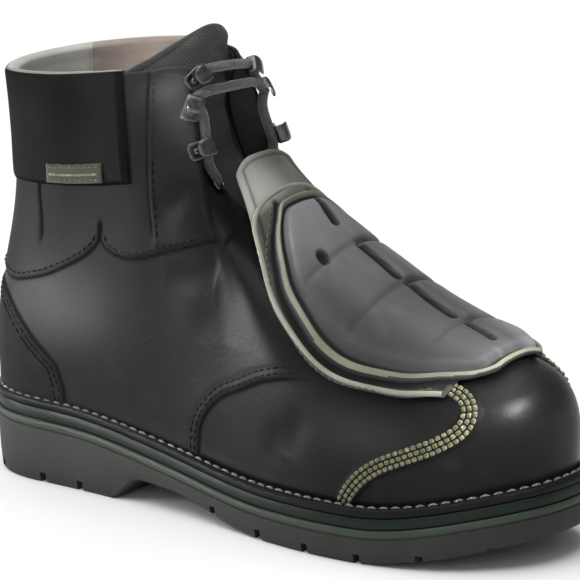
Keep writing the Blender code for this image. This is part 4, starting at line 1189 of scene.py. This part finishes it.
loops = [ring(1.4, 1.4, above(WELT_LO), NR), ring(0.7, 0.7, above(WELT_LO + 0.6), NR), ring(0.4, 0.4, above(WELT_LO + 2.0), NR),
         ring(0.7, 0.7, above(WELT_HI - 0.7), NR), ring(1.3, 1.3, above(WELT_HI - 0.1), NR),
         ring(LEDGE_HEEL * 0.52, LEDGE_FORE * 0.46, above(WELT_HI), NR), ring(LEDGE_HEEL * 0.60, LEDGE_FORE * 0.54, above(WELT_HI - 0.5), NR),
         ring(LEDGE_HEEL * 0.72, LEDGE_FORE * 0.66, above(WELT_HI - 0.5), NR), ring(LEDGE_HEEL * 0.82, LEDGE_FORE * 0.76, above(WELT_HI), NR),
         ring(LEDGE_HEEL - GAP, LEDGE_FORE - GAP, above(WELT_HI - 0.1), NR), ring(LEDGE_HEEL - GAP, LEDGE_FORE - GAP, above(WELT_LO), NR)]
grid = np.stack(loops + loops[:1], 1)
welt = welded(mesh_object("welt_strip", grid.reshape(-1, 3), grid_quads(NR, len(loops) + 1, wrap=True), [WELTING]))
place(welt, "welt", slot="welt")
line = ring(LEDGE_HEEL * 0.66, LEDGE_FORE * 0.60, above(WELT_HI - 0.25), 900)
line = np.concatenate([line, line[:1]])
stitches(pale, line, np.tile([0.0, 0.0, 1.0], (len(line), 1)), 4.6, 1.2, 0.72)

inside = LEDGE_HEEL + WALL + 0.9, LEDGE_FORE + WALL + 0.9
insole = stacked("footbed", [ring(*inside, above(WELT_LO), NR), ring(*inside, above(WELT_LO + INSOLE_T - 0.6), NR),
                             ring(inside[0] + 0.8, inside[1] + 0.8, above(WELT_LO + INSOLE_T), NR)], [FOOTBED])
place(insole, "insole", slot="footbed")

# ------------------------------------------------------------------ hooks, eyelets, laces
ends_at, hook_frames = {}, {}


def hook(name, side, u, v):
    """Bent plate with a rounded lip and a rivet."""
    p, n, away, along = upper_frame(side, u, v)
    p, nn = lay_on(p[None])
    p = p[0] + n * 0.25
    half = HOOK_LONG / 2
    k = HOOK_HIGH / 4.9
    way = curve_through([(half, .45), (half * .4, .45), (-half * .55, .45), (-half + .1, 1.2 * k), (-half, 2.5 * k), (-half + .35, 3.9 * k),
                         (-half * .45, 4.55 * k), (half * .1, 4.45 * k), (half * .42, 3.9 * k)], 36)
    tan = unit(np.gradient(way, axis=0))
    nor = np.stack([-tan[:, 1], tan[:, 0]], -1)
    wq = edge_spread(13, 1.8)
    s = np.linspace(0, 1, 36)
    wide = HOOK_WIDE / 2 * (1 - 0.28 * step01((s - 0.75) / 0.25)) * np.sqrt(1 - (1 - np.clip(np.minimum(s, 1 - s) * 12, 0.12, 1)) ** 2)
    f = np.sqrt(1 - np.clip(np.abs(wq), 0, 1) ** 6)[None, :] * np.sqrt(1 - (1 - np.clip(np.minimum(s, 1 - s) * 25, 0, 1)) ** 2)[:, None]
    def at(off):
        a = way[:, 0:1] + nor[:, 0:1] * off
        c = way[:, 1:2] + nor[:, 1:2] * off
        y = wide[:, None] * wq[None, :]
        return p + a[..., None] * away + (c + 0.55)[..., None] * n + y[..., None] * along
    ob = pillow(name, at(HOOK_T / 2 * f), at(-HOOK_T / 2 * f), [NICKEL])
    bm = bmesh.new()
    bm.from_mesh(ob.data)
    rot = Matrix((Vector(away), Vector(along), Vector(n))).transposed().to_4x4()
    centre = Vector(shift(p + n * 1.3 + away * 1.6))
    bmesh.ops.create_uvsphere(bm, u_segments=16, v_segments=8, radius=1.5 * MM,
                              matrix=Matrix.Translation(centre) @ rot @ Matrix.Diagonal((1, 1, 0.5, 1)))
    bm.to_mesh(ob.data)
    bm.free()
    ob.data.shade_smooth()
    place(ob, name.replace("_plate", ""), slot="dark_nickel")
    return p, n, away, along


for tag, side in (("lat", -1), ("med", 1)):
    for key in ("low", "middle", "top"):
        hook_frames[key, side] = hook(f"hook_{key}_{tag}_plate", side, *FITTINGS[side][key])
    p, n, away, along = upper_frame(side, *FITTINGS[side]["eyelet"])
    hook_frames["eyelet", side] = (p, n, away, along)
    th = np.linspace(0, 2 * pi, 36, endpoint=False)
    ringp = p + n * 1.5 + 3.1 * (np.cos(th)[:, None] * away + np.sin(th)[:, None] * along)
    bag = Bag()
    bag.add(*tube_mesh(ringp, 1.0, 12, closed=True))
    place(bag.object(f"eyelet_{tag}_ring", NICKEL), f"eyelet_{tag}", slot="dark_nickel")


def hook_point(key, side, a, c, y):
    p, n, away, along = hook_frames[key, side]
    return p + away * a + n * c + along * y


def up_sign(key, side):
    return 1 if hook_frames[key, side][3][2] > 0 else -1


def lace_curve(name, points, nodes, slot="lace"):
    route = even(curve_through(points, 600), 1.6)
    for _ in range(11):                                      # round the turns at the hooks
        route[1:-1] = 0.25 * route[:-2] + 0.5 * route[1:-1] + 0.25 * route[2:]
    route = even(route, 1.6)
    cu = bpy.data.curves.new(name, "CURVE")
    cu.dimensions = "3D"
    cu.bevel_depth, cu.bevel_resolution, cu.use_fill_caps = LACE_R * MM, 3, True
    sp = cu.splines.new("POLY")
    sp.points.add(len(route) - 1)
    for pt, co in zip(sp.points, shift(route)):
        pt.co = (*co, 1)
    cu.materials.append(LACE)
    ob = bpy.data.objects.new(name, cu)
    bpy.context.scene.collection.objects.link(ob)
    place(ob, *nodes, slot=slot)
    return ob


def bar(key, bulge, n=5):
    a = hook_point(key, -1, -HOOK_LONG / 2 - 1.6, 2.6, 0)
    b = hook_point(key, 1, -HOOK_LONG / 2 - 1.6, 2.6, 0)
    out = unit(hook_frames[key, -1][1] + hook_frames[key, 1][1])
    return [a + (b - a) * t + out * bulge * sin(pi * t) for t in np.linspace(0.06, 0.94, n)]


def along_leather(a, b, shares, lift):
    """Points of the straight way from a to b, laid on the leather."""
    return list(lay_on(np.array([a + (b - a) * s for s in shares]), lift)[0])


def run_up(side):
    e = hook_frames["eyelet", side]
    k, km = up_sign("low", side), up_sign("middle", side)
    low_a = hook_point("low", side, -HOOK_LONG / 2 - 1.4, 0, -5.0 * k)
    low_b = hook_point("low", side, -HOOK_LONG / 2 - 1.2, 0, 4.0 * k)
    mid_a = hook_point("middle", side, -2.2, 0, -7.5 * km)
    lift = LACE_R + 0.35
    return ([e[0] - e[1] * 0.6, e[0] + e[1] * (lift + 1.2)] + along_leather(e[0], low_a, (0.3, 0.55, 0.8, 1.0), lift)
            + along_leather(low_b, mid_a, (0.0, 0.5, 1.0), lift)
            + [hook_point("middle", side, -2.0, 3.2, -1.5 * km), hook_point("middle", side, -2.8, 3.2, 3.4 * km)])


kl, km_ = up_sign("middle", -1), up_sign("middle", 1)
tl, tm = up_sign("top", -1), up_sign("top", 1)
lace_curve("lace_one", run_up(-1)[:-1], ["lace_run_lat"])
lace_curve("lace_two", run_up(1)[:-1] + [hook_point("middle", 1, -2.2, 2.9, 4.5 * km_), hook_point("top", 1, -2.2, 2.8, -4.0 * tm),
                                         hook_point("top", 1, -1.8, 2.9, -1.0 * tm)], ["lace_run_med"])
lace_curve("lace_three", [hook_point("middle", -1, -2.4, 3.2, 2.4 * kl)] + bar("middle", 3.2)
           + [hook_point("middle", 1, -2.2, 2.9, -2.4 * km_)], ["lace_bar_1"])
lace_curve("lace_four", [hook_point("top", -1, -2.2, 2.9, 2.0 * tl)] + bar("top", 2.2)
           + [hook_point("top", 1, -2.2, 2.9, 2.2 * tm)], ["lace_bar_2"])

# ------------------------------------------------------------------ threads
for bag, name, mat, slot in ((khaki, "stitching_khaki", KHAKI, "guard_leather"), (pale, "stitching_welt", PALE, "welt"),
                             (black, "stitching_black", DARK_THREAD, "black_leather"), (olive, "stitching_flap", OLIVE_THREAD, "guard_leather")):
    place(bag.object(name, mat), slot=slot)

# ------------------------------------------------------------------ studio
AZ, EL, ROLL, DIST, SCALE, OX, OY = radians(39.77), radians(15.64), radians(-1.61), 3852.0, 2.2638, 3.33, 13.22
back = np.array([sin(AZ) * cos(EL), -cos(AZ) * cos(EL), sin(EL)])
right = unit(np.cross(-back, [0, 0, 1.0]))
upv = np.cross(right, -back)
R = cos(ROLL) * right + sin(ROLL) * upv
Uv = -sin(ROLL) * right + cos(ROLL) * upv
C = np.array([156.0, 0, 85.0]) + R * OX + Uv * OY + back * DIST
cam = bpy.data.cameras.new("Camera")
cam.sensor_fit, cam.sensor_width = "HORIZONTAL", 36.0
cam.lens = SCALE * DIST / 580.0 * 36.0
cam.clip_end = 100.0
cam_ob = bpy.data.objects.new("Camera", cam)
M = Matrix.Identity(4)
for k, axis in enumerate((R, Uv, back)):
    for j in range(3):
        M[j][k] = axis[j]
for j in range(3):
    M[j][3] = shift(C)[j]
cam_ob.matrix_world = M
bpy.context.scene.collection.objects.link(cam_ob)
bpy.context.scene.camera = cam_ob

floor_me = bpy.data.meshes.new("floor")
floor_me.from_pydata([(-6, -6, 0), (6, -6, 0), (6, 6, 0), (-6, 6, 0)], [], [(0, 1, 2, 3)])
floor = bpy.data.objects.new("floor", floor_me)
fm = material("Pale floor", (0.90, 0.90, 0.89), 0.8)
fn = node(fm, "ShaderNodeTexNoise", Scale=3.0, Detail=2.0)
to_base(fm, ramp(fm, fn.outputs["Fac"], [(0.3, (0.89, 0.89, 0.88)), (0.7, (0.92, 0.92, 0.91))]))
floor_me.materials.append(fm)
bpy.context.scene.collection.objects.link(floor)

world = bpy.data.worlds.new("Studio")
world.use_nodes = True
world.node_tree.nodes["Background"].inputs["Color"].default_value = (1, 1, 1, 1)
world.node_tree.nodes["Background"].inputs["Strength"].default_value = 0.30
bpy.context.scene.world = world


def softbox(name, where, aim, size, power, spread=180.0, colour=(1, 1, 1)):
    light = bpy.data.lights.new(name, "AREA")
    light.shape, light.size, light.size_y, light.energy, light.color = "RECTANGLE", size[0], size[1], power, colour
    light.spread = radians(spread)
    ob = bpy.data.objects.new(name, light)
    ob.location = where
    ob.rotation_euler = (Vector(aim) - Vector(where)).to_track_quat("-Z", "Y").to_euler()
    ob.visible_camera = False
    bpy.context.scene.collection.objects.link(ob)


softbox("left", (-0.72, -0.51, 0.17), (-0.095, -0.037, 0.090), (0.16, 0.16), 0.105, 8)
softbox("fill", (0.45, -1.25, 0.55), (0.0, -0.03, 0.10), (0.8, 0.6), 2.0)
softbox("front", (0.449, -1.381, 0.602), (-0.048, -0.027, 0.196), (0.06, 0.06), 0.016, 2.0)
softbox("right", (1.25, -0.40, 0.95), (0.138, -0.014, 0.082), (0.06, 0.06), 0.032, 2.2)
sun = bpy.data.lights.new("sky", "SUN")
sun.energy, sun.angle = 2.85, radians(70)
sun_ob = bpy.data.objects.new("sky", sun)
sun_ob.rotation_euler = Vector((0.12, 0.20, -1.0)).to_track_quat("-Z", "Y").to_euler()
bpy.context.scene.collection.objects.link(sun_ob)
bpy.context.scene.view_settings.view_transform = "Standard"
